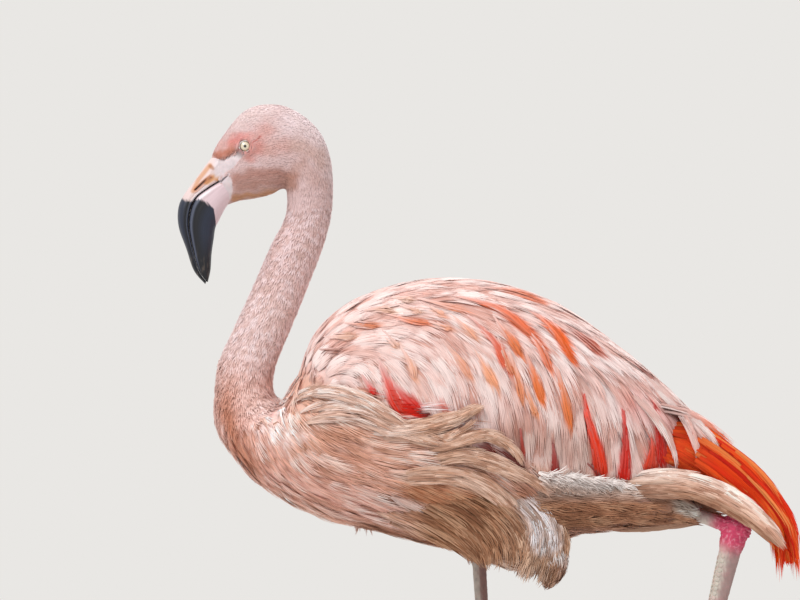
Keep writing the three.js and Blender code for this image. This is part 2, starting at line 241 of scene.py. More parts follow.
@dataclass
class MiddleTube(Surface):
    """A tube across the bird's middle plane.

    A row holds the low x and z, the high x and z, the half width, how far the widest place moves up,
    and how square the lower half is.
    """

    def outline(self, t: Array, a: Array, inset: Array) -> Array:
        """Place points on rings that stand across the middle plane.

        Args:
            t: Places along the tube, counted in rows.
            a: Angles round it.
            inset: How far inside the rows' outline the points lie.

        Returns:
            The points.
        """
        row = read_rows(self.rows, t)
        low, high, half, full, flat = row[..., 0:2], row[..., 2:4], row[..., 4], row[..., 5], row[..., 6]
        middle = (low + high) / 2
        up = (high - low) / 2
        reach = np.linalg.norm(up, axis=-1)
        up = up / np.maximum(reach, 1e-6)[..., None]
        cos, sin = np.cos(a), np.sin(a)
        power = np.where(cos < 0, flat, 1)
        height = np.sign(cos) * np.abs(cos) ** power
        wide = np.sign(sin) * np.abs(sin) ** power * (1 + full * height)
        tall = height * np.maximum(reach - inset, 0.4)
        across = wide * np.maximum(half - inset, 0.4)
        plane = middle + up * tall[..., None]
        return np.stack([plane[..., 0], across, plane[..., 1]], axis=-1) + PLANE.shift


@dataclass
class Tube(Surface):
    """A tube round a bent axis. A row holds x, y, z, the half depth and the half width along Y."""

    def outline(self, t: Array, a: Array, inset: Array) -> Array:
        """Place points on rings that stand across the axis.

        Args:
            t: Places along the tube, counted in rows.
            a: Angles round it.
            inset: How far inside the rows' outline the points lie.

        Returns:
            The points.
        """
        step = 0.03
        last = len(self.rows) - 1
        row = read_rows(self.rows, t)
        before = read_rows(self.rows, np.maximum(t - step, 0))[..., :3]
        after = read_rows(self.rows, np.minimum(t + step, last))[..., :3]
        along = unit(after - before)
        y_axis = np.array([0.0, 1.0, 0.0])
        sideways = unit(y_axis - along * along[..., 1:2])
        upwards = np.cross(along, sideways)
        deep = np.maximum(row[..., 3] - inset, 0.3) * np.cos(a)
        wide = np.maximum(row[..., 4] - inset, 0.3) * np.sin(a)
        return row[..., :3] + upwards * deep[..., None] + sideways * wide[..., None] + PLANE.shift


@dataclass
class Plane:
    """The bird's middle plane, which the rows of sections are drawn on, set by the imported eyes."""

    eye_x: float = -185.4
    eye_z: float = 841.2
    shift: Array = field(default_factory=lambda: np.zeros(3))
    eye_y: float = 0.0
    eye_radius: float = 0.0

    def settle(self) -> None:
        """Read the place of the plane and the eyes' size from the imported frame."""
        left, right = (sum(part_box(f"eye_{side}"), Vector()) / 2 / MM for side in ("left", "right"))
        middle = (left + right) / 2
        self.shift = np.array([middle.x - self.eye_x, middle.y, middle.z - self.eye_z])
        self.eye_y = (right.y - left.y) / 2
        low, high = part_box("eye_left")
        self.eye_radius = (high.z - low.z) / 2 / MM

    def eye(self, side: int) -> Array:
        """Give the centre of one eye; side is -1 on the bird's left."""
        return np.array([self.eye_x, side * self.eye_y, self.eye_z]) + self.shift


PLANE = Plane()

# ---------------------------------------------------------------- body drawing

# Sections from the throat or belly to the crown or back: low x, z, high x, z, half width, fullness.
SECTIONS = np.array([
    [-203, 787, -217, 832, 12.5, -0.1],  # 0 at the bill
    [-192, 790.5, -209, 848, 16.5, -0.1],
    [-176, 793, -186, 875, 19.5, -0.1],
    [-162, 796.5, -159, 881, 21.5, -0.08],  # 3 crown
    [-153, 801.5, -136, 873, 21.5, 0],
    [-148, 801, -117, 856, 20.5, 0],
    [-147, 796, -107, 833, 19.5, 0],
    [-147, 787, -104, 806, 18.5, 0],  # 7 nape
    [-150, 772, -106, 776, 18.5, 0],
    [-163, 747, -115, 743, 19.5, 0],
    [-183, 702, -138, 684, 21.5, 0],  # 10
    [-197, 672, -152, 651, 24, 0],
    [-211, 640, -159, 629, 29, 0],
    [-215, 611, -158, 611, 36, 0.05],  # 13
    [-215, 584, -149, 603, 46, 0.05],
    [-204, 560, -147, 605, 56, 0],  # 15 root of the neck
    [-177, 529, -141, 613, 66, 0],
    [-140, 506, -133, 637, 76, -0.05],  # 17 breast
    [-107, 492, -118, 673, 83, -0.08],
    [-66, 483, -80, 703, 88, -0.1],
    [-14, 470, -20, 719, 91, -0.1],  # 20 deepest body
    [42, 460, 42, 717, 90, -0.08],
    [93, 468, 102, 697, 84, -0.04],
    [144, 485, 158, 659, 74, 0],  # 23
    [190, 489, 205, 619, 59, 0],
    [226, 495, 236, 588, 42, 0],  # 25 rump
    [250, 510, 260, 562, 24, 0],
])
SECTIONS = np.hstack([SECTIONS, np.ones((len(SECTIONS), 1))])
LAST_SECTION = len(SECTIONS) - 1
THIGH_LEFT = np.array([
    [40, -46, 540, 44, 24],
    [110, -50, 520, 38, 22],
    [170, -50, 514, 27, 18],
    [210, -48, 509, 17, 13],
    [232, -45, 502, 9.5, 8.5],
], float)
THIGH_RIGHT = np.array([
    [29, 32, 500, 22, 18],
    [31, 30, 470, 16, 13],
    [32.4, 28.3, 450, 8.5, 7.5],
])
FLANK = np.array([
    [-6, -46, 508, 34, 24],
    [48, -50, 484, 29, 21],
    [86, -50, 469, 26, 16],
    [98, -48, 452, 14, 9],
    [94, -47, 437, 3, 3],
], float)
TAIL = np.array([
    [214, 0, 540, 24, 28],
    [250, 0, 520, 14, 24],
    [284, 0, 501, 11, 16],
    [307, 0, 483, 8, 9],
    [317, 0, 467, 3, 4],
], float)
PLUMES = np.array([
    [222, -38, 566, 27, 19],
    [262, -34, 539, 24, 15],
    [291, -28, 512, 19, 11],
    [311, -23, 482, 15, 8],
    [320, -21, 455, 9, 5],
    [324, -21, 437, 3, 2.5],
], float)
# The folded wing's lower edge from the side, x and z, from the breast to the rump.
WING_EDGE = [(-165, 690), (-149, 632), (-121, 617), (-84, 612), (-50, 588), (-28, 590), (6, 570),
             (37, 553), (93, 539), (149, 531), (202, 533), (240, 545), (280, 560)]


def mirrored(rows: Array, side: int) -> Array:
    """Set a tube's rows, drawn on the bird's left, on one side."""
    return rows * np.array([1, -side, 1, 1, 1])


def seen(points: Array) -> tuple[Array, Array]:
    """Give the x and z of points, as they are seen from the side."""
    return points[..., 0], points[..., 2]


def above_wing_edge(x: Array, z: Array) -> Array:
    """How far a point lies above the folded wing's lower edge, seen from the side."""
    edge_x, edge_z = np.array(WING_EDGE).T
    return z - np.interp(x, edge_x, edge_z)


def coat_depth(t: Array, a: Array) -> Array:
    """How far the skin of head, neck and trunk lies under the tips of the feathers.

    Args:
        t: Places along the body, counted in sections.
        a: Angles round it.

    Returns:
        Depths in millimetres.
    """
    places = [0, 0.6, 1.4, 3, 6, 8, 10, 12, 14, 16, 18, 22, 25, 26]
    depths = [0.2, 0.4, 0.7, 0.9, 1.0, 1.2, 1.5, 2.0, 3.0, 4.0, 4.6, 4.8, 4.6, 4.0]
    side = np.abs(np.sin(a))
    under_wing = smooth(2.1, 2.4, np.abs(a)) * smooth(3.0, 2.7, np.abs(a)) * smooth(20.5, 22.5, t)
    return np.interp(t, places, depths) + 7 * side * under_wing


# ---------------------------------------------------------------- markings

@dataclass(frozen=True)
class Patch:
    """A soft-edged stroke of colour on the bird's side, drawn along a line seen from the side."""

    line: tuple[tuple[float, float], ...]
    width: float
    colour: str
    strength: float = 1.0
    edge: float = 0.5  # share of the width over which it fades

    def cover(self, x: Array, z: Array) -> Array:
        """How strongly the stroke covers each point."""
        distance = gap_to(x, z, *self.line)
        return self.strength * smooth(self.width, self.width * (1 - self.edge), distance)


@dataclass(frozen=True)
class Lens(Patch):
    """A stroke that is pointed at both ends, as one coloured feather that shows between pale ones."""

    def widths(self, place: Array) -> Array:
        """Half width at places from 0 to 1 along the stroke."""
        return self.width * np.sin(math.pi * place**1.25) ** 0.7

    def cover(self, x: Array, z: Array) -> Array:
        """How strongly the stroke covers each point.

        Args:
            x: Places along the bird.
            z: Heights.

        Returns:
            Shares from 0 to 1.
        """
        distance, place = away_from_line(x, z, self.line)
        width = self.widths(np.clip(place, 0, 1)) + 1e-3
        return self.strength * smooth(1.25, 0.75, distance / width) * (width > 0.3)


@dataclass(frozen=True)
class Wedge(Lens):
    """A stroke that starts as a point and is widest near its end, as a gap between two coverts."""

    def widths(self, place: Array) -> Array:
        """Half width at places from 0 to 1 along the stroke."""
        return self.width * place**0.8 * smooth(1.02, 0.9, place) ** 0.5


PINK = "e6c6c4"
CREAM = "f2cec7"
BUFF = "eebaa6"
RED = "dc1a02"

# Strokes of colour on head and body: seen from the side, x and z from the sole's middle.
HEAD_PATCHES = (
    Patch(((-150, 868), (-120, 850), (-108, 820)), 30, "f1dcdd", 0.75, 0.9),
    Patch(((-206, 868), (-180, 880)), 16, "f2dcda", 0.6, 0.9),
    Patch(((-179, 838), (-163, 841)), 13, "dc9c8c", 0.5, 1.0),
    Patch(((-152, 842), (-131, 834), (-128, 825)), 12, "cfa595", 0.5, 1.0),
    Patch(((-221.7, 842), (-212, 846)), 10, "e0a49a", 0.6, 1.0),
    Patch(((-211, 845), (-204.5, 848), (-198, 850)), 8.5, "e0837a", 0.8, 1.0),
    Patch(((-227, 834), (-219.5, 833), (-212, 838)), 8.0, "cb7c62", 0.9, 1.0),
    Patch(((-192.8, 848), (-180, 855)), 12, "e6a79e", 0.6, 1.0),
    Patch(((-196, 832), (-188, 837), (-186, 842)), 9.5, "e08f84", 0.7, 1.0),
    Patch(((-190.2, 845.6), (-186.5, 849.3)), 1.8, "c86a62", 0.75, 0.9),
    # A brownish band over the cheek and the throat below it: painted shade under the head.
    Patch(((-208, 812), (-190.7, 815), (-170, 817), (-154, 812)), 10, "b67a68", 0.75, 1.0),
    Patch(((-206, 803), (-188, 806), (-168, 808), (-156, 804)), 10, "b98270", 0.75, 1.0),
    Patch(((-210, 793), (-184.4, 797), (-166, 799)), 6, "cd9060", 0.85, 1.0),
    Patch(((-158, 808), (-152, 819), (-146, 826)), 9, "c2907e", 0.45, 1.0),
    Patch(((-140, 815), (-126, 806)), 10, "d2a99f", 0.5, 1.0),
)
BODY_PATCHES = (
    # Orange-brown down the front edge of the neck and breast: painted shade along that edge.
    Patch(((-214, 640), (-218, 600), (-206, 562), (-180, 532)), 13, "d08464", 0.85, 0.95),
    Patch(((-190, 640), (-180, 600), (-150, 570)), 30, "ffdcd4", 0.95, 0.9),
    Patch(((-140, 600), (-100, 590), (-60, 575)), 30, "fcccb8", 0.9, 0.9),
    Patch(((-170, 540), (-120, 520), (-60, 500)), 28, "ffcabc", 0.85, 0.9),
    Patch(((-40, 520), (20, 510), (60, 500)), 32, "c4825a", 0.9, 0.9),
    # A pale band along the flank: painted highlight.
    Patch(((-60, 560), (0, 548), (50, 535)), 16, "f0c8b8", 0.7, 0.9),
    # Dark brown along the belly's bottom: painted shade under the body.
    Patch(((-90, 486), (-20, 472), (30, 462), (60, 452)), 14, "a0603c", 0.85, 0.9),
    # Tan, and darker brown lower, under the rear of the body: painted shade of the underside.
    Patch(((100, 505), (140, 500), (200, 505)), 22, "b07c60", 0.85, 0.9),
    Patch(((90, 486), (130, 486), (180, 492)), 12, "8f583c", 0.85, 0.9),
    Patch(((150, 600), (190, 580), (225, 560)), 24, "ffb2a8", 0.8, 0.9),
    Patch(((0, 600), (30, 575), (60, 562), (100, 560)), 16, "e0b8a8", 0.6, 0.9),
    Patch(((-150, 560), (-120, 575), (-90, 578)), 10, "e0aa90", 0.6, 0.9),
    Patch(((80, 665), (130, 635), (170, 612)), 30, "ffdcd4", 0.8, 0.9),
    Patch(((-70, 520), (-30, 505), (10, 490)), 8, "f2ccc0", 0.6, 0.9),
    # Brown low on the wing under the arching flank locks: painted shade.
    Patch(((34, 562), (60, 566), (86, 556)), 15, "b87454", 0.75, 0.9),
    Patch(((-138, 640), (-120, 662), (-95, 680), (-60, 690)), 18, "f2c2ae", 0.7, 0.9),
    Patch(((-100, 700), (-60, 712), (-30, 716)), 10, "eeb49c", 0.6, 0.9),
)
# Broad soft tones of the folded wing; the brown one low on the wing is painted shade under the arching flank
# locks.
WING_TONES = (
    Patch(((48, 576), (80, 566), (112, 556)), 26, "b47c66", 0.5, 0.9),
    Patch(((160, 604), (205, 576)), 22, "f2968a", 0.45, 0.9),
)
# Feathers of the folded wing that show their colour between pale tips.
WING_STREAKS = (
    Lens(((-97, 677), (-74, 674)), 3.4, "c86e42", 0.9),
    Lens(((-84, 690), (-70, 690), (-57, 687)), 3.4, "d8a284", 0.7),
    Lens(((-57, 700), (-42, 698)), 3.0, "dcae94", 0.7),
    Lens(((-49, 692), (-35, 686)), 3.0, "e0a68a", 0.7),
    Lens(((-24.5, 690), (-13.5, 683)), 3.2, "eca07c", 0.7),
    Lens(((-20, 676), (-7, 671)), 3.0, "ee9c74", 0.7),
    Lens(((-63, 661), (-56, 654)), 3.4, "f0b090", 0.7),
    Lens(((-116, 665), (-95, 665)), 4.0, "e6b296", 0.7),
    Lens(((-128, 653), (-106, 652)), 1.8, "a86a58", 0.9),
    Lens(((-137, 634), (-137.5, 619)), 1.8, "94604c", 0.9),
    Lens(((-61, 684), (-42, 679), (-25, 677)), 3.4, "ea7c4c", 0.8),
    Lens(((-29, 698), (-8, 692), (8, 688)), 3.2, "e98a60", 0.7),
    Lens(((29, 710), (56, 705), (84, 694)), 3.4, "ec7a4a", 0.85),
    Lens(((6, 700), (38, 690), (60, 672), (80, 652)), 5.0, "e96a38", 0.95),
    Lens(((14, 678), (32, 660), (40, 642), (50, 626)), 5.0, "e2562c", 0.95),
    Lens(((38, 674), (48, 660), (56, 646)), 5.0, "f07c40", 0.95),
    Lens(((64, 668), (76, 650), (84, 630)), 4.2, "ee7440", 0.9),
    Lens(((62, 644), (70, 622), (76, 600)), 4.6, "f47830", 1.0),
    Lens(((47, 645), (54, 620), (57, 600)), 3.6, "f08a50", 0.8),
    Lens(((60, 616), (66, 600), (70, 594)), 3.4, "f4904c", 0.9),
    Lens(((-10, 654), (2, 640), (11, 622)), 4.0, "f09a70", 0.8),
    Lens(((18, 644), (26, 630), (34, 616)), 5.0, "f6a67c", 0.95),
    Lens(((-1, 678), (8, 670), (15, 661)), 4.0, "eea078", 0.7),
    Lens(((-50, 648), (-44, 636), (-42, 624)), 4.0, "f2ae8c", 0.8),
    Lens(((70, 686), (90, 668), (107, 637)), 5.6, "f26a26", 1.0),
    Lens(((101, 673), (120, 658), (136, 643)), 4.4, "c8522e", 0.9),
    Lens(((158, 643), (178, 626), (191, 608)), 2.6, "94402c", 0.9),
    Lens(((90, 630), (96, 604), (102, 576)), 4.4, "f07a34", 0.95),
    Lens(((37, 658), (44, 640), (50, 627)), 3.8, "f08c5c", 0.7),
)
RED_GAPS = (
    Wedge(((113, 613), (116, 590), (125, 562), (130, 534)), 8.0, "f03404", 1.0),
    Wedge(((149, 600), (151, 572), (151, 550), (149, 529)), 7.5, RED, 1.0),
    Wedge(((178, 606), (181, 588), (184, 570), (187, 542)), 6.5, RED, 1.0),
    Wedge(((176, 572), (177, 558), (174, 540)), 9.0, "f03a08", 1.0),
    Wedge(((202.5, 590), (203.5, 572), (208, 560), (208.5, 536)), 4.0, "d42408", 1.0),
    Wedge(((214, 582), (224, 566), (230, 550), (228, 534)), 11.0, "fa4208", 1.0),
    Lens(((-71, 633), (-61, 610), (-48, 588)), 7.5, "dc2a0c", 1.0),
    Lens(((-61, 620), (-46, 603), (-32, 590)), 7.5, RED, 1.0),
    Lens(((-42, 600), (-33, 594), (-26, 590)), 3.4, "7a1a10", 1.0),
    Lens(((-85, 622), (-78, 611)), 2.8, RED, 1.0),
    Lens(((-18, 604), (-12, 595)), 3.0, "e05a48", 0.9),
    Lens(((-3, 579), (10, 576)), 3.4, "d0605a", 0.9),
    Wedge(((84, 568), (86, 552), (86, 537)), 5.0, "9c180c", 1.0),
    Wedge(((54, 582), (56, 566), (57, 554)), 2.8, "b84030", 1.0),
    # Deep red under the arching flank locks: red feathers darkened as painted shade.
    Lens(((13, 567), (22, 564), (31, 558)), 5.5, "7a1c10", 1.0),
    Lens(((36, 563), (46, 554), (58, 542)), 7.5, "6e160c", 1.0),
    Wedge(((116, 550), (124, 542), (128, 534)), 3.0, "8c1c10", 1.0),
)


def filled(shape: tuple[int, ...], colour: str) -> Array:
    """Fill an array of linear colours with one hex colour."""
    return np.broadcast_to(linear(colour), shape).copy()


def lay_over(base: Array, colour: str, share: Array) -> Array:
    """Mix a hex colour over linear colours by a share for each."""
    share = np.clip(share, 0, 1)[..., None]
    return base * (1 - share) + linear(colour) * share


def lay_all(base: Array, *layers: tuple[str, Array]) -> Array:
    """Mix hex colours over linear colours one after the other.

    Args:
        base: Linear colours.
        *layers: Each layer's hex colour and its share at every place.

    Returns:
        Linear colours.
    """
    for colour, share in layers:
        base = lay_over(base, colour, share)
    return base


def markings_and_painted_light(points: Array, t: Array) -> Array:
    """Colour of the bird's skin and coat at places on its body, with painted shade and a painted highlight
    among the patches.

    Args:
        points: Places in the last axis.
        t: Where they lie along the body, counted in sections.

    Returns:
        Linear colours.
    """
    x, z = seen(points)
    colour = filled(points.shape, PINK)
    colour = lay_all(
        colour,
        ("f4d2cf", smooth(7.2, 8.8, t)),
        ("fcdcd8", smooth(9.3, 10.3, t)),
        ("eebaac", smooth(11.2, 13.2, t)),
        (BUFF, smooth(14.5, 17.5, t)),
    )
    if np.min(t) < 9:
        near_x, near_z = x + 1.3 * wobble(points, 12, 21), z + 1.3 * wobble(points, 9, 22)
        for patch in HEAD_PATCHES:
            colour = lay_over(colour, patch.colour, patch.cover(near_x, near_z) * (t < 9))
    for patch in BODY_PATCHES if np.max(t) > 12 else ():
        colour = lay_over(colour, patch.colour, patch.cover(x, z) * smooth(12, 14, t))
    if np.max(t) > 15:
        wing = smooth(-2, 8, above_wing_edge(x, z)) * smooth(15.5, 17, t)
        colour = lay_over(colour, CREAM, 0.85 * wing)
        for tone in WING_TONES + WING_STREAKS:
            colour = lay_over(colour, tone.colour, tone.cover(x, z) * wing)
        for lens in RED_GAPS:
            colour = lay_over(colour, lens.colour, lens.cover(x, z) * smooth(15.5, 17, t))
    return colour


# ---------------------------------------------------------------- lie of the coat

@dataclass(frozen=True)
class Lie:
    """Which way the feathers lie, from guides seen from the side: x, z and degrees down from +X."""

    guides: tuple[tuple[float, float, float], ...]
    blur: float = 16.0

    def heading(self, points: Array) -> Array:
        """Give the direction at each point as a vector along the bird's middle plane.

        Args:
            points: Places in the last axis.

        Returns:
            Vectors of length 1.
        """
        guides = np.array(self.guides)
        x, z = points[..., 0:1], points[..., 2:3]
        weight = 1 / ((x - guides[:, 0]) ** 2 + (z - guides[:, 1]) ** 2 + self.blur**2) ** 2
        angle = np.radians(guides[:, 2])
        along = np.sum(weight * np.cos(angle), axis=-1)
        down = np.sum(weight * np.sin(angle), axis=-1)
        return unit(np.stack([along, np.zeros_like(along), -down], axis=-1))


WING_LIE = Lie((
    (-140, 650, -45), (-121, 675, -32), (-95, 700, -22), (-60, 715, -10), (-9, 713, 3), (60, 708, 10),
    (110, 694, 22), (160, 655, 38), (205, 615, 42), (240, 580, 45), (-80, 670, 0), (-56, 652, 30),
    (-70, 630, 62), (-28, 606, 66), (14, 671, 38), (-5, 652, 55), (30, 634, 68), (60, 680, 40),
    (93, 660, 48), (75, 625, 75), (37, 587, 82), (93, 578, 87), (130, 604, 76), (130, 559, 84),
    (177, 604, 62), (180, 550, 74), (223, 559, 55), (130, 650, 50), (0, 600, 78),
))
FLANK_LIE = Lie((
    (-190, 620, 84), (-210, 590, 80), (-190, 560, 58), (-149, 513, 32), (-102, 541, 18),
    (-56, 569, 2), (-102, 606, 14), (-56, 513, 20), (-9, 560, 4), (-9, 513, 26), (37, 541, 34),
    (37, 476, 40), (74, 494, 72), (84, 457, 86), (-102, 494, 24), (-149, 569, 40), (-130, 606, 18),
    (-165, 600, 60), (110, 500, 15), (150, 500, 8), (200, 505, 6), (240, 520, 15),
))


@dataclass(frozen=True)
class Along(Lie):
    """Feathers that lie along the tube they grow on, from its first row to its last."""

    guides: tuple[tuple[float, float, float], ...] = ()


# ---------------------------------------------------------------- strands

@dataclass
class Strands:
    """Many thin strands, each a row of places with a width, before they get a body."""

    line: Array  # n, r, 3
    across: Array  # n, r, 3
    out: Array  # n, r, 3
    half: Array  # n, r
    tint: Array  # n, r, 3
    place: Array  # n, 2, root on the bake map
    number: Array  # n

    @staticmethod
    def joined(parts: list["Strands"]) -> "Strands":
        """Put several sets with the same number of rings together."""
        names = ("line", "across", "out", "half", "tint", "place", "number")
        return Strands(*(np.concatenate([getattr(part, name) for part in parts]) for name in names))


@dataclass
class Growth:
    """What a stretch of coat is like. A tuft is a few strands that share a root and a colour."""

    strands: int = 3
    rings: int = 4
    width: float = 3.0  # of the whole tuft
    strand: float = 1.4  # of one strand
    low: float = 0.3  # height over the skin at the root
    crown: float = 0.0  # how much a tuft's middle stands above its edges
    ragged: float = 0.25  # how much shorter the outer strands are
    stray: float = 6.0  # degrees that a tuft turns from the lie
    splay: float = 0.3  # how much the strands part at the tip
    root_tone: float = 0.9  # brightness at the roots
    edge_tone: float = 0.92  # brightness of a tuft's outer strands
    ramp: tuple[str, ...] = ()  # colours from the darkest tufts to the palest
    ramp_strength: float = 0.5
    clump: float = 14.0  # millimetres between locks of one colour
    loose: float = 0.6  # how much single tufts leave their lock's colour
    locks: float = 0.0  # millimetres that pale locks stand above dark ones
    rough: float = 0.05  # how unevenly the strands lie, as a share of their width
    frayed: float = 0.09  # how unevenly they end
    mottle: float = 0.0  # how much the shade changes along a strand


def trace(surface: Surface, t: Array, a: Array, length: Array, steps: int, lie: Lie,
          turn: Array) -> tuple[Array, Array]:
    """Follow the lie of the coat over a surface.

    Args:
        surface: The skin the coat grows on.
        t: Root of each tuft along the surface.
        a: Root of each tuft round it.
        length: Length of each tuft.
        steps: How many steps to take.
        lie: Which way the coat lies.
        turn: Radians that each tuft turns from the lie.

    Returns:
        The t and a of every step, roots first.
    """
    last = len(surface.rows) - 1
    all_t, all_a = [t], [a]
    for _ in range(steps):
        by_t, by_a, out = surface.lean(t, a)
        if isinstance(lie, Along):
            heading = unit(by_t)
        else:
            heading = lie.heading(surface.point(t, a))
        heading = unit(heading - out * dot(heading, out)[..., None])
        heading = heading * np.cos(turn)[..., None] + np.cross(out, heading) * np.sin(turn)[..., None]
        tt, ta, aa = dot(by_t, by_t), dot(by_t, by_a), dot(by_a, by_a)
        ht, ha = dot(heading, by_t), dot(heading, by_a)
        scale = length / steps / np.maximum(tt * aa - ta * ta, 1e-6)
        t = np.clip(t + (aa * ht - ta * ha) * scale, 0, last)
        a = a + np.clip((tt * ha - ta * ht) * scale, -0.5, 0.5)
        all_t.append(t)
        all_a.append(a)
    return np.stack(all_t, 1), np.stack(all_a, 1)


def between(values: Array, at: Array) -> Array:
    """Read rows of places at fractional steps.

    Args:
        values: n rows of k places, with 3 numbers each.
        at: n rows of s fractional steps from 0 to k - 1.

    Returns:
        n, s, 3 numbers.
    """
    i = np.minimum(at.astype(int), values.shape[1] - 2)
    f = (at - i)[..., None]
    rows = np.arange(len(values))[:, None]
    return values[rows, i] * (1 - f) + values[rows, i + 1] * f


Paint = Callable[[Array, Array, np.random.Generator], Array]


@dataclass
class Tufts:
    """Roots of a stretch of coat, with the size of each tuft."""

    surface: Surface
    t: Array
    a: Array
    length: Array
    high: Array
    lie: Lie
    bounds: tuple[float, float, float, float]  # t from, t to, a from, a to: the bake map's reach

    def lines(self, turn: Array) -> tuple[Array, Array, Array]:
        """Follow the lie from each root.

        Args:
            turn: Radians that each tuft turns from the lie.

        Returns:
            The t, the places and the normals of every step.
        """
        line_t, line_a = trace(self.surface, self.t, self.a, self.length, TRACE_STEPS, self.lie, turn)
        return line_t, self.surface.point(line_t, line_a), self.surface.lean(line_t, line_a)[2]

    def grow(self, growth: Growth, rng: np.random.Generator, paint: Paint | None = None) -> Strands:
        """Turn the roots into strands.

        Args:
            growth: What the coat is like here.
            rng: Seeded numbers.
            paint: Gives colours from places and their t; the body's markings with their painted light and
                shade when it is left out.

        Returns:
            The strands, grouped by tuft.
        """
        n, s, r = len(self.t), growth.strands, growth.rings
        line_t, centre, out = self.lines(np.radians(growth.stray) * rng.normal(size=n))
        steps = centre.shape[1] - 1
        along = unit(np.gradient(centre, axis=1))
        side = unit(np.cross(out, along))
        u = np.linspace(-1, 1, s) if s > 1 else np.zeros(1)
        u = u + rng.uniform(-0.5, 0.5, (n, s)) * (1.2 / s)
        reach = 1 - growth.ragged * np.abs(u) ** 1.5 - rng.uniform(0, growth.frayed, (n, s))
        v = np.linspace(0, 1, r + 1)
        at = (v * reach[..., None]).reshape(n, -1) * steps
        shape = (n, s, r + 1, 3)
        place, normal, cross = (between(part, at).reshape(shape) for part in (centre, out, side))
        fan = 0.55 + 0.45 * np.sin(math.pi * np.minimum(v * 1.3, 1.0) / 2) + growth.splay * v**2
        bend = rng.normal(0, growth.splay, (n, s, 1)) * v**2 * growth.strand * 0.6
        offset = u[..., None] * (growth.width / 2) * fan + bend
        rise = growth.low + (self.high[:, None, None] - growth.low) * v
        crown = growth.crown * (1 - np.clip(np.abs(u), 0, 1)[..., None] ** 2) * np.sin(math.pi * v) ** 0.5
        shade = self.shade(growth, centre[:, 0], rng)
        lock = growth.locks * np.clip(shade, -1.2, 1.2)[:, None, None] * np.sin(math.pi * v) ** 0.5
        uneven = rng.uniform(-1, 1, (n, s, 1)) * growth.rough * growth.strand * (0.3 + v)
        height = rise + crown + lock + uneven
        line = place + cross * offset[..., None] + normal * height[..., None]
        taper = np.sin(math.pi * (0.3 + 0.7 * v)) ** 0.6
        taper[-1] = 0
        half = growth.strand * 0.62 * taper * rng.uniform(0.85, 1.15, (n, s, 1))
        shaded = unit(normal + cross * (growth.crown * 0.25 * u)[..., None, None])
        t_at = between(np.repeat(line_t[..., None], 3, -1), at)[..., 0].reshape(n, s, r + 1)
        number = np.repeat(rng.uniform(0, 1, n), s) + rng.uniform(0, 0.06, n * s)
        tint = (paint or (lambda p, along_t, _: markings_and_painted_light(p, along_t)))(line, t_at, rng)
        tint = self.vary(growth, tint, shade, line)
        tone = growth.root_tone + (1 - growth.root_tone) * smooth(0.0, 0.6, v)
        edge = 1 - (1 - growth.edge_tone) * np.clip(np.abs(u), 0, 1)[..., None] ** 2
        tint = np.clip(tint * (tone * edge)[..., None], 0, 1)
        flat = (n * s, r + 1, 3)
        t0, t1, a0, a1 = self.bounds
        root = np.stack([(self.t - t0) / (t1 - t0), (self.a - a0) / (a1 - a0)], -1)
        spread = np.stack([np.zeros((n, s)), u * BAKE_PATCH / 2], -1)
        root = 0.01 + 0.98 * np.clip(root, 0, 1)[:, None, :] + spread
        return Strands(line.reshape(flat), cross.reshape(flat), shaded.reshape(flat),
                       half.reshape(n * s, r + 1), tint.reshape(flat), root.reshape(-1, 2), number)

    def shade(self, growth: Growth, roots: Array, rng: np.random.Generator) -> Array:
        """How pale each tuft is, from about -1.4 to 1.4; neighbours in one lock are alike."""
        stretch = np.array([0.45, 1.0, 1.0])
        return wobble(roots * stretch, growth.clump, 11) + growth.loose * rng.normal(size=len(roots))

    def vary(self, growth: Growth, tint: Array, shade: Array, line: Array) -> Array:
        """Give each tuft its own shade from the growth's ramp of colours.

        Args:
            growth: What the coat is like here.
            tint: Colours of n tufts, s strands and their rings.
            shade: How pale each tuft is.
            line: Places of the strands' rings.

        Returns:
            The colours, darker or paler by the ramp.
        """
        if not growth.ramp:
            return tint
        stops = np.array([linear(stop) for stop in growth.ramp])
        level = np.broadcast_to(shade[:, None, None], line.shape[:3])
        if growth.mottle:
            level = level + growth.mottle * wobble(line * np.array([0.5, 1, 1]), growth.clump * 0.6, 31)
        at = np.clip((level + 1.4) / 2.8, 0, 0.999) * (len(stops) - 1)
        i = at.astype(int)
        f = (at - i)[..., None]
        change = (stops[i] * (1 - f) + stops[i + 1] * f) / stops.mean(0)
        vivid = tint[..., 0:1] - tint[..., 2:3]
        strength = growth.ramp_strength * smooth(0.62, 0.42, vivid)
        return tint * (1 + (change - 1) * strength)


@dataclass
class FreeTufts(Tufts):
    """Tufts whose lines are drawn in space instead of being traced over the skin."""

    places: Array | None = None  # n, k, 3
    normals: Array | None = None  # n, k, 3

    def lines(self, turn: Array) -> tuple[Array, Array, Array]:
        """Give the drawn lines as they are."""
        steps = self.places.shape[1]
        return np.repeat(self.t[:, None], steps, 1), self.places, self.normals


def on_side(x: Array, z: Array, side: int) -> tuple[Array, Array]:
    """Find the place of the body's outline that is seen at x, z from one side, by the nearest of a grid.

    Args:
        x: Places along the bird.
        z: Heights.
        side: -1 for the bird's left.

    Returns:
        The t and a of the nearest places.
    """
    t, a = mesh_of(np.linspace(*NEAR_BODY, 261), np.linspace(0.1, 3.04, 99))
    grid = BODY_OUTLINE.outline(t, a, 0 * t)[..., [0, 2]].reshape(-1, 2).astype(np.float32)
    wanted = np.stack([x, z], -1).astype(np.float32)
    best = [np.argmin((grid**2).sum(1) - 2 * part @ grid.T, axis=1)
            for part in np.array_split(wanted, 1 + len(wanted) // AT_ONCE)]
    best = np.concatenate(best)
    return t.ravel()[best], side * a.ravel()[best]


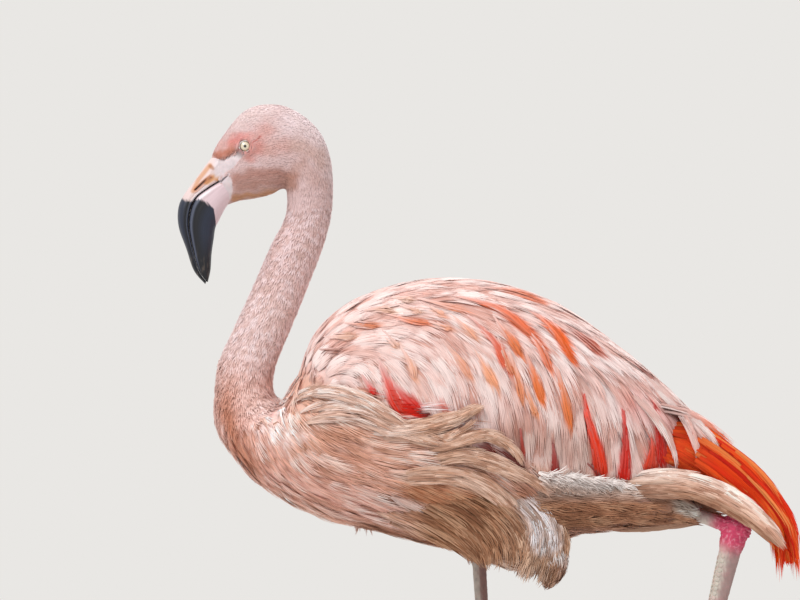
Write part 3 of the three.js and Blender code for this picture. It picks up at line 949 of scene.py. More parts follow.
def drawn_tufts(root: tuple[Array, Array], side: int, tip: float, places: Array,
                normals: Array) -> FreeTufts:
    """Gather lines drawn in space as tufts that root on the body.

    Args:
        root: The t and a of each tuft's root.
        side: -1 for the bird's left.
        tip: How high the tips stand over their lines.
        places: n, k, 3 places.
        normals: The way each place faces.

    Returns:
        The tufts.
    """
    t, a = root
    ones = np.ones(len(t))
    bounds = (*NEAR_BODY, 0.0, side * math.pi)
    return FreeTufts(BODY, t, a, ones, ones * tip, Along(()), bounds, places=places, normals=normals)


def draw_on_body(paths: list[tuple[tuple[float, float, float], ...]], side: int,
                 up: float = 0.0) -> FreeTufts:
    """Draw tufts over the body by paths seen from the side.

    Args:
        paths: For each tuft its points as x, z and height over the feathers' outline.
        side: -1 for the bird's left.
        up: How much the tufts' faces tip upwards.

    Returns:
        The tufts.
    """
    steps = TRACE_STEPS + 1
    rows = np.stack([read_rows(np.array(path, float), np.linspace(0, len(path) - 1, steps))
                     for path in paths])
    x, z, high = np.moveaxis(rows, -1, 0)
    t, a = (part.reshape(x.shape) for part in on_side(x.ravel(), z.ravel(), side))
    out = BODY_OUTLINE.lean(t, a)[2]
    places = np.stack([x, BODY_OUTLINE.outline(t, a, 0 * t)[..., 1], z], -1)
    places = places + out * np.array([1, 1, 0.3]) * high[..., None]
    return drawn_tufts((t[:, 0], a[:, 0]), side, 0.5, places, unit(out + np.array([0, 0, up])))


def hang(curves: Array, outs: Array) -> FreeTufts:
    """Make tufts of curves in space.

    Args:
        curves: For each tuft a few places in the bird's own plane, as n, k, 3 numbers.
        outs: The way each tuft's face points.

    Returns:
        The tufts.
    """
    steps = np.linspace(0, curves.shape[1] - 1, DRAWN_PLACES)
    places = np.stack([read_rows(curve, steps) for curve in curves]) + PLANE.shift
    side = -1 if places[:, 0, 1].mean() < 0 else 1
    root = on_side(places[:, 0, 0], places[:, 0, 2], side)
    return drawn_tufts(root, side, 0.0, places, np.repeat(unit(outs)[:, None, :], DRAWN_PLACES, 1))


def scatter(surface: Surface, bounds: tuple[float, float, float, float], per_cm2: float,
            keep: Field | None, rng: np.random.Generator) -> tuple[Array, Array]:
    """Spread roots evenly over part of a surface.

    Args:
        surface: The skin.
        bounds: t from, t to, a from, a to.
        per_cm2: Roots on a square centimetre.
        keep: Share of roots to keep at a place, or None for all of them.
        rng: Seeded numbers.

    Returns:
        The t and a of the roots.
    """
    t0, t1, a0, a1 = bounds
    grid_t, grid_a = mesh_of(np.linspace(t0, t1, 60), np.linspace(a0, a1, 60))
    by_t, by_a, _ = surface.lean(grid_t, grid_a)
    area = np.linalg.norm(np.cross(by_t, by_a), axis=-1)
    top = np.percentile(area, 99.5)
    count = int(top * (t1 - t0) * (a1 - a0) / 100 * per_cm2)
    i = np.arange(count) + rng.integers(0, 1000)
    t = t0 + (t1 - t0) * ((i * EVEN_STEPS[0]) % 1.0)
    a = a0 + (a1 - a0) * ((i * EVEN_STEPS[1]) % 1.0)
    by_t, by_a, _ = surface.lean(t, a)
    share = np.linalg.norm(np.cross(by_t, by_a), axis=-1) / top
    if keep is not None:
        share = share * keep(t, a)
    chosen = rng.uniform(0, 1, count) < share
    return t[chosen], a[chosen]


def make_object(name: str, points: Array, faces: list | Array) -> bpy.types.Object:
    """Make a smoothly shaded mesh object from places in millimetres.

    Args:
        name: The piece's name.
        points: Places of the vertices.
        faces: Vertex numbers of each face.

    Returns:
        The object, linked to the scene.
    """
    mesh = bpy.data.meshes.new(name)
    mesh.from_pydata(np.asarray(points) * MM, [], faces)
    mesh.polygons.foreach_set("use_smooth", np.ones(len(mesh.polygons), bool))
    mesh.update()
    piece = bpy.data.objects.new(name, mesh)
    bpy.context.collection.objects.link(piece)
    return piece


def read_vertices(mesh: bpy.types.Mesh) -> tuple[Array, Array]:
    """Read a mesh's vertices.

    Args:
        mesh: The mesh.

    Returns:
        Their places in millimetres, and their normals.
    """
    places, normals = np.empty((2, len(mesh.vertices) * 3), np.float32)
    mesh.vertices.foreach_get("co", places)
    mesh.vertices.foreach_get("normal", normals)
    return places.reshape(-1, 3).astype(float) / MM, normals.reshape(-1, 3)


def write_attribute(mesh: bpy.types.Mesh, name: str, kind: str, values: Array) -> None:
    """Write one attribute of a mesh's vertices.

    Args:
        mesh: The mesh.
        name: The attribute's name.
        kind: "FLOAT_COLOR" or "FLOAT_VECTOR".
        values: Three numbers for each vertex.
    """
    attribute = mesh.attributes.new(name, kind, "POINT")
    key = {"FLOAT_COLOR": "color", "FLOAT_VECTOR": "vector"}[kind]
    if kind == "FLOAT_COLOR":
        values = np.concatenate([values, np.ones((*values.shape[:-1], 1))], -1)
    attribute.data.foreach_set(key, np.ascontiguousarray(values, np.float32).ravel())


def strand_piece(name: str, strands: Strands, soft: float) -> bpy.types.Object:
    """Give strands a thin closed body with three edges, and write what their material reads.

    Args:
        name: The piece's name.
        strands: The strands.
        soft: How round a strand shades.

    Returns:
        One mesh object of all the strands.
    """
    n, r = strands.half.shape[0], strands.half.shape[1] - 1
    half = strands.half[:, :r, None]
    middle, across, out = strands.line[:, :r], strands.across[:, :r], strands.out[:, :r]
    rings = np.stack([middle - across * half, middle + out * half * RIDGE, middle + across * half], 2)
    points = np.concatenate([rings.reshape(n, r * 3, 3), strands.line[:, r:]], 1)
    per = r * 3 + 1
    ring = np.arange(3)
    quads = np.array([[i * 3 + k, (i + 1) * 3 + k, (i + 1) * 3 + (k + 1) % 3, i * 3 + (k + 1) % 3]
                      for i in range(r - 1) for k in ring])
    tips = np.array([[(r - 1) * 3 + k, r * 3, (r - 1) * 3 + (k + 1) % 3] for k in ring] + [[0, 1, 2]])
    loops_one = np.concatenate([quads.ravel(), tips.ravel()])
    sizes_one = np.array([4] * len(quads) + [3] * len(tips))
    loops = (np.arange(n)[:, None] * per + loops_one).ravel().astype(np.int32)
    sizes = np.tile(sizes_one, n)
    mesh = bpy.data.meshes.new(name)
    mesh.vertices.add(n * per)
    mesh.vertices.foreach_set("co", (points * MM).astype(np.float32).ravel())
    mesh.loops.add(len(loops))
    mesh.loops.foreach_set("vertex_index", loops)
    mesh.polygons.add(len(sizes))
    starts = np.concatenate([[0], np.cumsum(sizes)[:-1]])
    mesh.polygons.foreach_set("loop_start", starts.astype(np.int32))
    mesh.polygons.foreach_set("use_smooth", np.ones(len(sizes), bool))
    mesh.update(calc_edges=True)
    mesh.validate()
    u = np.concatenate([np.tile([0.0, 0.5, 1.0], r), [0.5]])
    v = np.concatenate([np.repeat(np.arange(r) / r, 3), [1.0]])
    offset = np.stack([v - 0.5, u - 0.5], -1) * BAKE_PATCH
    uv = (strands.place[:, None, :] + offset).reshape(-1, 2)
    layer = mesh.uv_layers.new(name=BAKE_MAP)
    layer.data.foreach_set("uv", uv[loops].astype(np.float32).ravel())
    tint = np.concatenate([np.repeat(strands.tint[:, :r], 3, 1), strands.tint[:, r:]], 1)
    write_attribute(mesh, TINT, "FLOAT_COLOR", tint.reshape(-1, 3))
    number = np.repeat(strands.number[:, None], per, 1)
    lay = np.stack([np.broadcast_to(u, (n, per)), np.broadcast_to(v, (n, per)), number], -1)
    write_attribute(mesh, LAY, "FLOAT_VECTOR", lay.reshape(-1, 3))
    part = np.stack([-across * soft, np.zeros_like(across), across * soft], 2)
    tip = strands.out[:, r:]
    shaded = np.concatenate([unit(part + out[:, :, None]).reshape(n, r * 3, 3), tip], 1)
    write_attribute(mesh, "custom_normal", "FLOAT_VECTOR", shaded)
    piece = bpy.data.objects.new(name, mesh)
    bpy.context.collection.objects.link(piece)
    log.info("%s: %d strands, %d triangles", name, n, n * (6 * (r - 1) + 4))
    return piece


# ---------------------------------------------------------------- materials

def add_node(tree: bpy.types.NodeTree, kind: str, inputs: dict | None = None, **settings) -> bpy.types.Node:
    """Add one node with its settings, and fill or link its inputs.

    Args:
        tree: The node tree.
        kind: The node's type, such as "ShaderNodeMix".
        inputs: Values or output sockets by the input's name or number.
        **settings: Properties of the node.

    Returns:
        The node.
    """
    node = tree.nodes.new(kind)
    for name, value in settings.items():
        setattr(node, name, value)
    for name, value in (inputs or {}).items():
        socket = node.inputs[name]
        if isinstance(value, bpy.types.NodeSocket):
            tree.links.new(value, socket)
        else:
            socket.default_value = value
    return node


def new_material(name: str) -> tuple[bpy.types.Material, bpy.types.NodeTree, bpy.types.Node]:
    """Make a material with an empty tree but for its shader and output.

    Args:
        name: The real material's name.

    Returns:
        The material, its tree and its Principled shader.
    """
    material = bpy.data.materials.new(name)
    material.use_nodes = True
    tree = material.node_tree
    tree.nodes.clear()
    shader = add_node(tree, "ShaderNodeBsdfPrincipled")
    add_node(tree, "ShaderNodeOutputMaterial", {"Surface": shader.outputs["BSDF"]})
    return material, tree, shader


def rgba(colour: Array) -> tuple[float, float, float, float]:
    """Linear colour with full alpha, as a socket takes it."""
    return (*(float(part) for part in colour), 1.0)


def spread_noise(tree: bpy.types.NodeTree, noise: bpy.types.Node, low: float,
                 high: float) -> bpy.types.NodeSocket:
    """Turn noise into a number that runs from low to high.

    Args:
        tree: The node tree.
        noise: The noise node.
        low: What its dark parts give.
        high: What its pale parts give.

    Returns:
        The number's socket.
    """
    return add_node(tree, "ShaderNodeMapRange", {
        "Value": noise.outputs["Fac"], "From Min": 0.3, "From Max": 0.7, "To Min": low, "To Max": high,
    }).outputs[0]


def object_noise(tree: bpy.types.NodeTree, scale: float, detail: float) -> bpy.types.Node:
    """Add noise that is fixed to the piece.

    Args:
        tree: The node tree.
        scale: Features to the metre.
        detail: How many finer layers it has.

    Returns:
        The noise node.
    """
    where = add_node(tree, "ShaderNodeTexCoord").outputs["Object"]
    return add_node(tree, "ShaderNodeTexNoise", {"Vector": where, "Scale": scale, "Detail": detail})


def show_vertex_colours(tree: bpy.types.NodeTree, shader: bpy.types.Node, factor: bpy.types.NodeSocket) -> None:
    """Give a shader the colours written on the vertices, times a factor.

    Args:
        tree: The node tree.
        shader: The shader.
        factor: What the colours are multiplied by.
    """
    tint = add_node(tree, "ShaderNodeAttribute", attribute_name=TINT)
    colour = add_node(tree, "ShaderNodeVectorMath", {0: tint.outputs["Color"], "Scale": factor},
                      operation="SCALE")
    tree.links.new(colour.outputs[0], shader.inputs["Base Color"])


def raise_surface(tree: bpy.types.NodeTree, shader: bpy.types.Node, height: bpy.types.NodeSocket,
                  strength: float, depth_mm: float, **more) -> None:
    """Give a shader a relief.

    Args:
        tree: The node tree.
        shader: The shader.
        height: The relief's height from 0 to 1.
        strength: How strongly it shows.
        depth_mm: How deep it is.
        **more: Other inputs of the bump node.
    """
    bump = add_node(tree, "ShaderNodeBump", {
        "Height": height, "Strength": strength, "Distance": depth_mm * MM, **more,
    })
    tree.links.new(bump.outputs[0], shader.inputs["Normal"])


def set_shader(shader: bpy.types.Node, **values) -> None:
    """Set a shader's inputs; an underscore stands for each blank in their names."""
    for name, value in values.items():
        shader.inputs[name.replace("_", " ")].default_value = value


@dataclass(frozen=True)
class Feather:
    """Feather keratin: soft barbs that scatter light, with fine hairlines along each strand."""

    name: str
    barbs: float = 5.0  # hairlines across one strand
    lengthwise: float = 1.6  # how often a hairline changes along its strand
    apart: float = 193.0  # how far apart the patterns of two strands lie
    contrast: float = 0.18  # how much the hairlines differ
    uneven: float = 0.10  # how much one tuft differs from the next
    roughness: float = 0.75
    sheen: float = 0.25
    bump: float = 0.25

    def make(self) -> bpy.types.Material:
        """Build the node tree.

        Returns:
            The material.
        """
        material, tree, shader = new_material(self.name)
        lay = add_node(tree, "ShaderNodeAttribute", attribute_name=LAY)
        across, along, number = add_node(tree, "ShaderNodeSeparateXYZ", {0: lay.outputs["Vector"]}).outputs
        times = {"operation": "MULTIPLY"}
        strand = add_node(tree, "ShaderNodeMath", {0: number, 1: self.apart}, **times)
        slide = add_node(tree, "ShaderNodeMath", {0: along, 1: self.lengthwise}, **times)
        wide = add_node(tree, "ShaderNodeMath", {0: across, 1: self.barbs}, **times)
        place = add_node(tree, "ShaderNodeCombineXYZ",
                         {0: wide.outputs[0], 1: slide.outputs[0], 2: strand.outputs[0]})
        lines = add_node(tree, "ShaderNodeTexNoise",
                         {"Vector": place.outputs[0], "Scale": 1.0, "Detail": 2.0, "Roughness": 0.6})
        jitter = add_node(tree, "ShaderNodeTexWhiteNoise", {"W": number}, noise_dimensions="1D")
        each = add_node(tree, "ShaderNodeMapRange", {
            "Value": jitter.outputs["Value"], "To Min": 1 - self.uneven, "To Max": 1 + self.uneven * 0.6,
        })
        hairlines = spread_noise(tree, lines, 1 - self.contrast, 1 + self.contrast * 0.45)
        both = add_node(tree, "ShaderNodeMath", {0: hairlines, 1: each.outputs[0]}, **times)
        show_vertex_colours(tree, shader, both.outputs[0])
        shape = add_node(tree, "ShaderNodeNewGeometry").outputs
        facing = add_node(tree, "ShaderNodeVectorMath", {0: shape["Normal"], 1: shape["True Normal"]},
                          operation="DOT_PRODUCT")
        below = add_node(tree, "ShaderNodeMath", {0: facing.outputs["Value"], 1: 0.2}, operation="LESS_THAN")
        normal = add_node(tree, "ShaderNodeMix", {
            0: below.outputs[0], 4: shape["Normal"], 5: shape["True Normal"],
        }, data_type="VECTOR")
        raise_surface(tree, shader, lines.outputs["Fac"], self.bump, 0.4, Normal=normal.outputs[1])
        set_shader(shader, Roughness=self.roughness, Specular_IOR_Level=0.25, Sheen_Weight=self.sheen,
                   Sheen_Roughness=0.5)
        return material


@dataclass(frozen=True)
class Skin:
    """Bare and feathered skin: leathery, finely pebbled, with the markings of the coat above it, painted
    light and shade among them.
    """

    name: str
    pebble_mm: float = 0.9  # width of one pebble of the skin
    roughness: float = 0.55
    bump: float = 0.35
    scatter: float = 0.08

    def make(self) -> bpy.types.Material:
        """Build the node tree.

        Returns:
            The material.
        """
        material, tree, shader = new_material(self.name)
        where = add_node(tree, "ShaderNodeTexCoord").outputs["Object"]
        pebbles = add_node(tree, "ShaderNodeTexVoronoi",
                           {"Vector": where, "Scale": 1 / (self.pebble_mm * MM)})
        show_vertex_colours(tree, shader, spread_noise(tree, object_noise(tree, 160.0, 4.0), 0.86, 1.08))
        raise_surface(tree, shader, pebbles.outputs["Distance"], self.bump, 0.3)
        set_shader(shader, Roughness=self.roughness, Subsurface_Weight=self.scatter,
                   Subsurface_Radius=(0.004, 0.0015, 0.001), Subsurface_Scale=0.5)
        return material


@dataclass(frozen=True)
class Horn:
    """Bill horn: worn keratin with long fine scratches and a low polish."""

    name: str
    grain_mm: float = 1.2  # width of one growth line
    roughness: float = 0.4
    bump: float = 0.2

    def make(self) -> bpy.types.Material:
        """Build the node tree.

        Returns:
            The material.
        """
        material, tree, shader = new_material(self.name)
        lay = add_node(tree, "ShaderNodeAttribute", attribute_name=LAY)
        stretch = add_node(tree, "ShaderNodeVectorMath",
                           {0: lay.outputs["Vector"], 1: (3.0, 14.0, 14.0)}, operation="MULTIPLY")
        lines = add_node(tree, "ShaderNodeTexNoise",
                         {"Vector": stretch.outputs[0], "Scale": 1.0, "Detail": 5.0, "Roughness": 0.65})
        show_vertex_colours(tree, shader, spread_noise(tree, lines, 0.82, 1.12))
        grain = object_noise(tree, 1 / (self.grain_mm * MM), 3.0)
        tree.links.new(spread_noise(tree, grain, self.roughness - 0.08, self.roughness + 0.12),
                       shader.inputs["Roughness"])
        raise_surface(tree, shader, lines.outputs["Fac"], self.bump, 0.3)
        return material


@dataclass(frozen=True)
class WetEye:
    """An eyeball under its clear wet cornea: iris fibres below a high polish."""

    name: str = "Wet_cornea_over_iris"

    def make(self) -> bpy.types.Material:
        """Build the node tree.

        Returns:
            The material.
        """
        material, tree, shader = new_material(self.name)
        show_vertex_colours(tree, shader, spread_noise(tree, object_noise(tree, 1400.0, 3.0), 0.85, 1.1))
        set_shader(shader, Roughness=0.35, Coat_Weight=1.0, Coat_Roughness=0.03)
        return material


@dataclass(frozen=True)
class Claw:
    """Claw horn: dark, dull and finely ridged along its length."""

    name: str = "Dull_claw_horn"
    grain_mm: float = 0.8

    def make(self) -> bpy.types.Material:
        """Build the node tree.

        Returns:
            The material.
        """
        material, tree, shader = new_material(self.name)
        grain = object_noise(tree, 1 / (self.grain_mm * MM), 4.0)
        dark, pale = rgba(linear("2c2422")), rgba(linear("6a5850"))
        colour = add_node(tree, "ShaderNodeMix", {0: grain.outputs["Fac"], 6: dark, 7: pale},
                          data_type="RGBA")
        tree.links.new(colour.outputs[2], shader.inputs["Base Color"])
        raise_surface(tree, shader, grain.outputs["Fac"], 0.4, 0.2)
        set_shader(shader, Roughness=0.45)
        return material


# ---------------------------------------------------------------- face

@dataclass
class Face:
    """The bare face round the bill and the eyes, and the folds of its skin."""

    lores: tuple[tuple[float, float], ...] = ((-228, 820), (-221.4, 823), (-213, 826), (-204.5, 832))
    pad: tuple[tuple[float, float], ...] = ((-229, 834.5), (-220, 835), (-211, 840))
    crease: tuple[tuple[float, float], ...] = (
        (-230, 832), (-228.6, 831.1), (-219.5, 828.9), (-212.1, 833.4), (-205.7, 838), (-203.5, 840),
    )
    fold: tuple[tuple[float, float], ...] = ((-205.5, 834.5), (-200.5, 831.8))
    gape: tuple[tuple[float, float], ...] = ((-227, 806.3), (-223.8, 807.9), (-219.5, 810.6), (-215.3, 814.3))
    chin: tuple[tuple[float, float], ...] = ((-216.5, 808), (-216.5, 800), (-219.5, 789))

    def relief(self, x: Array, z: Array, side: Array) -> Array:
        """How far the skin stands out from the plain head.

        Args:
            x: Places along the bird.
            z: Heights.
            side: Share from 0 on the middle plane to 1 on the cheeks.

        Returns:
            Millimetres; below 0 the skin is pushed in.
        """
        pad = gap_to(x, z, *self.pad)
        crease = gap_to(x, z, *self.crease)
        eye = np.hypot(x - PLANE.eye(1)[0], z - PLANE.eye(1)[2])
        above = z - np.interp(x, *np.array(self.crease).T)
        height = 1.5 * np.exp(-((pad / 5.5) ** 2)) * smooth(-0.5, 1.5, above)
        height = height - 1.3 * np.exp(-((crease / 1.3) ** 2)) * smooth(-199, -205, x)
        gape = gap_to(x, z, *self.gape)
        height = height - 0.7 * np.exp(-((gape / 0.6) ** 2))
        mound = 2.5 * smooth(13, 5.5, eye)
        socket = -7 * smooth(5.2, 3.6, eye)
        return (height + mound + socket) * smooth(0.25, 0.7, side)

    def lore_share(self, x: Array, z: Array) -> Array:
        """Share of the pale bare skin between bill and eye and at the corner of the mouth.

        Args:
            x: Places along the bird.
            z: Heights.

        Returns:
            Shares from 0 to 1.
        """
        away, place = away_from_line(x, z, self.lores)
        width = np.interp(place, [0, 0.5, 1], [10.5, 7.5, 3.0])
        below = np.interp(x, *np.array(self.crease).T) - z
        lore = smooth(1.15, 0.7, away / width) * smooth(-0.6, 0.6, below)
        chin = gap_to(x, z, *self.chin)
        return np.maximum(lore, smooth(6.5, 4.0, chin))

    def round_eye(self, x: Array, z: Array) -> Array:
        """Share of the bare ring of skin round the eye."""
        return smooth(7.6, 7.0, np.hypot(x - PLANE.eye(1)[0], z - PLANE.eye(1)[2]))

    def bare(self, x: Array, z: Array) -> Array:
        """Share of bare skin at a place on the side of the face."""
        return np.maximum(smooth(0.4, 0.8, self.lore_share(x, z)), self.round_eye(x, z))

    def colour(self, base: Array, x: Array, z: Array) -> Array:
        """Paint the bare face over the markings and their painted shade.

        Args:
            base: Linear colours of the markings, with their painted shade.
            x: Places along the bird.
            z: Heights.

        Returns:
            Linear colours.
        """
        crease = gap_to(x, z, *self.crease)
        fold = gap_to(x, z, *self.fold)
        eye = np.hypot(x - PLANE.eye(1)[0], z - PLANE.eye(1)[2])
        gape = gap_to(x, z, *self.gape)
        colour = lay_over(base, "dfd0d3", 0.92 * self.lore_share(x, z))
        colour = lay_all(
            colour,
            ("e6d4d8", 0.8 * smooth(3.2, 1.6, gape)),
            ("2a2028", 0.97 * smooth(0.9, 0.5, gape)),
            ("a89a9c", 0.8 * smooth(3.4, 1.2, fold)),
            ("5e3c36", 0.9 * smooth(1.7, 0.4, crease) * smooth(-198, -205, x)),
            ("d8847a", smooth(9.0, 7.0, eye) * 0.6 * smooth(-0.5, 1, 846 - z + (x + 199))),
            ("5a4040", 0.8 * np.exp(-(((eye - 6.1) / 0.4) ** 2))),
        )
        front = gap_to(x, z, (-203.2, 837.2), (-206.5, 834.6), (-209.5, 833.2))
        colour = lay_over(colour, "5c4c4c", 0.8 * smooth(1.6, 0.5, front))
        below = gap_to(x, z, (-203.5, 833.6), (-200.8, 832.4), (-197.6, 833.4))
        colour = lay_over(colour, "8a7c7c", 0.7 * smooth(0.9, 0.3, below))
        return colour


FACE = Face()


def skin_depth(t: Array, a: Array) -> Array:
    """Depth of the skin under the coat's tips, with the folds of the face.

    Args:
        t: Places along the body, counted in sections.
        a: Angles round it.

    Returns:
        Depths in millimetres.
    """
    depth = coat_depth(t, a)
    if np.min(t) >= 5:
        return depth
    plain = BODY_OUTLINE.outline(t, a, depth)
    relief = FACE.relief(plain[..., 0], plain[..., 2], np.abs(np.sin(a)))
    return depth - relief * (t < 5)


BODY_OUTLINE = MiddleTube(SECTIONS)
BODY = MiddleTube(SECTIONS, skin_depth)


def ring_mesh(rings: Array) -> tuple[Array, list]:
    """Skin rings of points, all with the same count, and close both ends with a fan.

    Args:
        rings: r, s, 3 places; the rings turn so that faces point outwards.

    Returns:
        The points and the faces.
    """
    count, sides = rings.shape[:2]
    i, k = mesh_of(np.arange(count - 1), np.arange(sides))
    nxt = (k + 1) % sides
    quads = np.stack([i * sides + k, (i + 1) * sides + k, (i + 1) * sides + nxt, i * sides + nxt], -1)
    points = np.concatenate([rings.reshape(-1, 3), rings[:1].mean(1), rings[-1:].mean(1)])
    first, last = count * sides, count * sides + 1
    faces = quads.reshape(-1, 4).tolist()
    for k in range(sides):
        after = (k + 1) % sides
        faces.append([first, k, after])
        faces.append([last, (count - 1) * sides + after, (count - 1) * sides + k])
    return points, faces


def with_ends(values: Array) -> Array:
    """Give the points of ring_mesh their values: all the rings', then one for each end."""
    flat = values.reshape(-1, 3)
    return np.concatenate([flat, flat[:1], flat[-1:]])


def tube_object(name: str, surface: Surface, t_values: Array, sides: int) -> bpy.types.Object:
    """Make a closed mesh of a surface.

    Args:
        name: Object name.
        surface: The tube.
        t_values: Where its rings stand.
        sides: Points on a ring.

    Returns:
        The object.
    """
    t, a = mesh_of(t_values, circle(sides))
    return make_object(name, *ring_mesh(surface.point(t, a)))


def unite(target: bpy.types.Object, others: list[bpy.types.Object]) -> None:
    """Join closed meshes into one closed mesh and remove the ones joined in.

    Args:
        target: The object that grows.
        others: The objects that it takes in.
    """
    bpy.context.view_layer.objects.active = target
    for other in others:
        cut = target.modifiers.new("unite", "BOOLEAN")
        cut.operation = "UNION"
        cut.solver = "EXACT"
        cut.object = other
        with bpy.context.temp_override(object=target):
            bpy.ops.object.modifier_apply(modifier=cut.name)
        bpy.data.objects.remove(other)


def nearest_body_t(points: Array) -> Array:
    """Find where along the body each point lies, by the nearest place of its outline.

    Args:
        points: n places.

    Returns:
        The t of each.
    """
    t, a = mesh_of(np.linspace(0, LAST_SECTION, 157), np.linspace(-math.pi, math.pi, 25))
    places = BODY_OUTLINE.outline(t, a, 0.0 * t).reshape(-1, 3)
    tree = KDTree(len(places))
    for i, place in enumerate(places):
        tree.insert(place, i)
    tree.balance()
    flat = t.ravel()
    return np.array([flat[tree.find(point)[1]] for point in points])


# ---------------------------------------------------------------- legs

@dataclass(frozen=True)
class Toe:
    """One front toe: its turn from the middle one, its length, and how far the web reaches along it."""

    name: str
    turn: float
    length: float
    web: float


TOE_SHARES = (1.15, 0.95, 1.05, 0.85, 0.92, 0.7, 0.5)  # thickness from pad to pad along a toe
TARSUS_DEPTHS = (11, 8.6, 6.8, 6, 6.8)  # half depth from the ankle to the foot
TARSUS_WIDTHS = (7, 5.6, 4.8, 4.7, 5.6)
TOES = (Toe("inner", 31, 56, 0.8), Toe("middle", 0, 72, 0.72), Toe("outer", -31, 64, 0.8))


def tip_over(places: Array, degrees: float) -> Array:
    """Turn places about the Y axis.

    Args:
        places: Places in the last axis.
        degrees: How far they turn.

    Returns:
        The places turned.
    """
    turn = math.radians(degrees)
    x, y, z = np.moveaxis(places, -1, 0)
    return np.stack([x * math.cos(turn) + z * math.sin(turn), y,
                     z * math.cos(turn) - x * math.sin(turn)], -1)


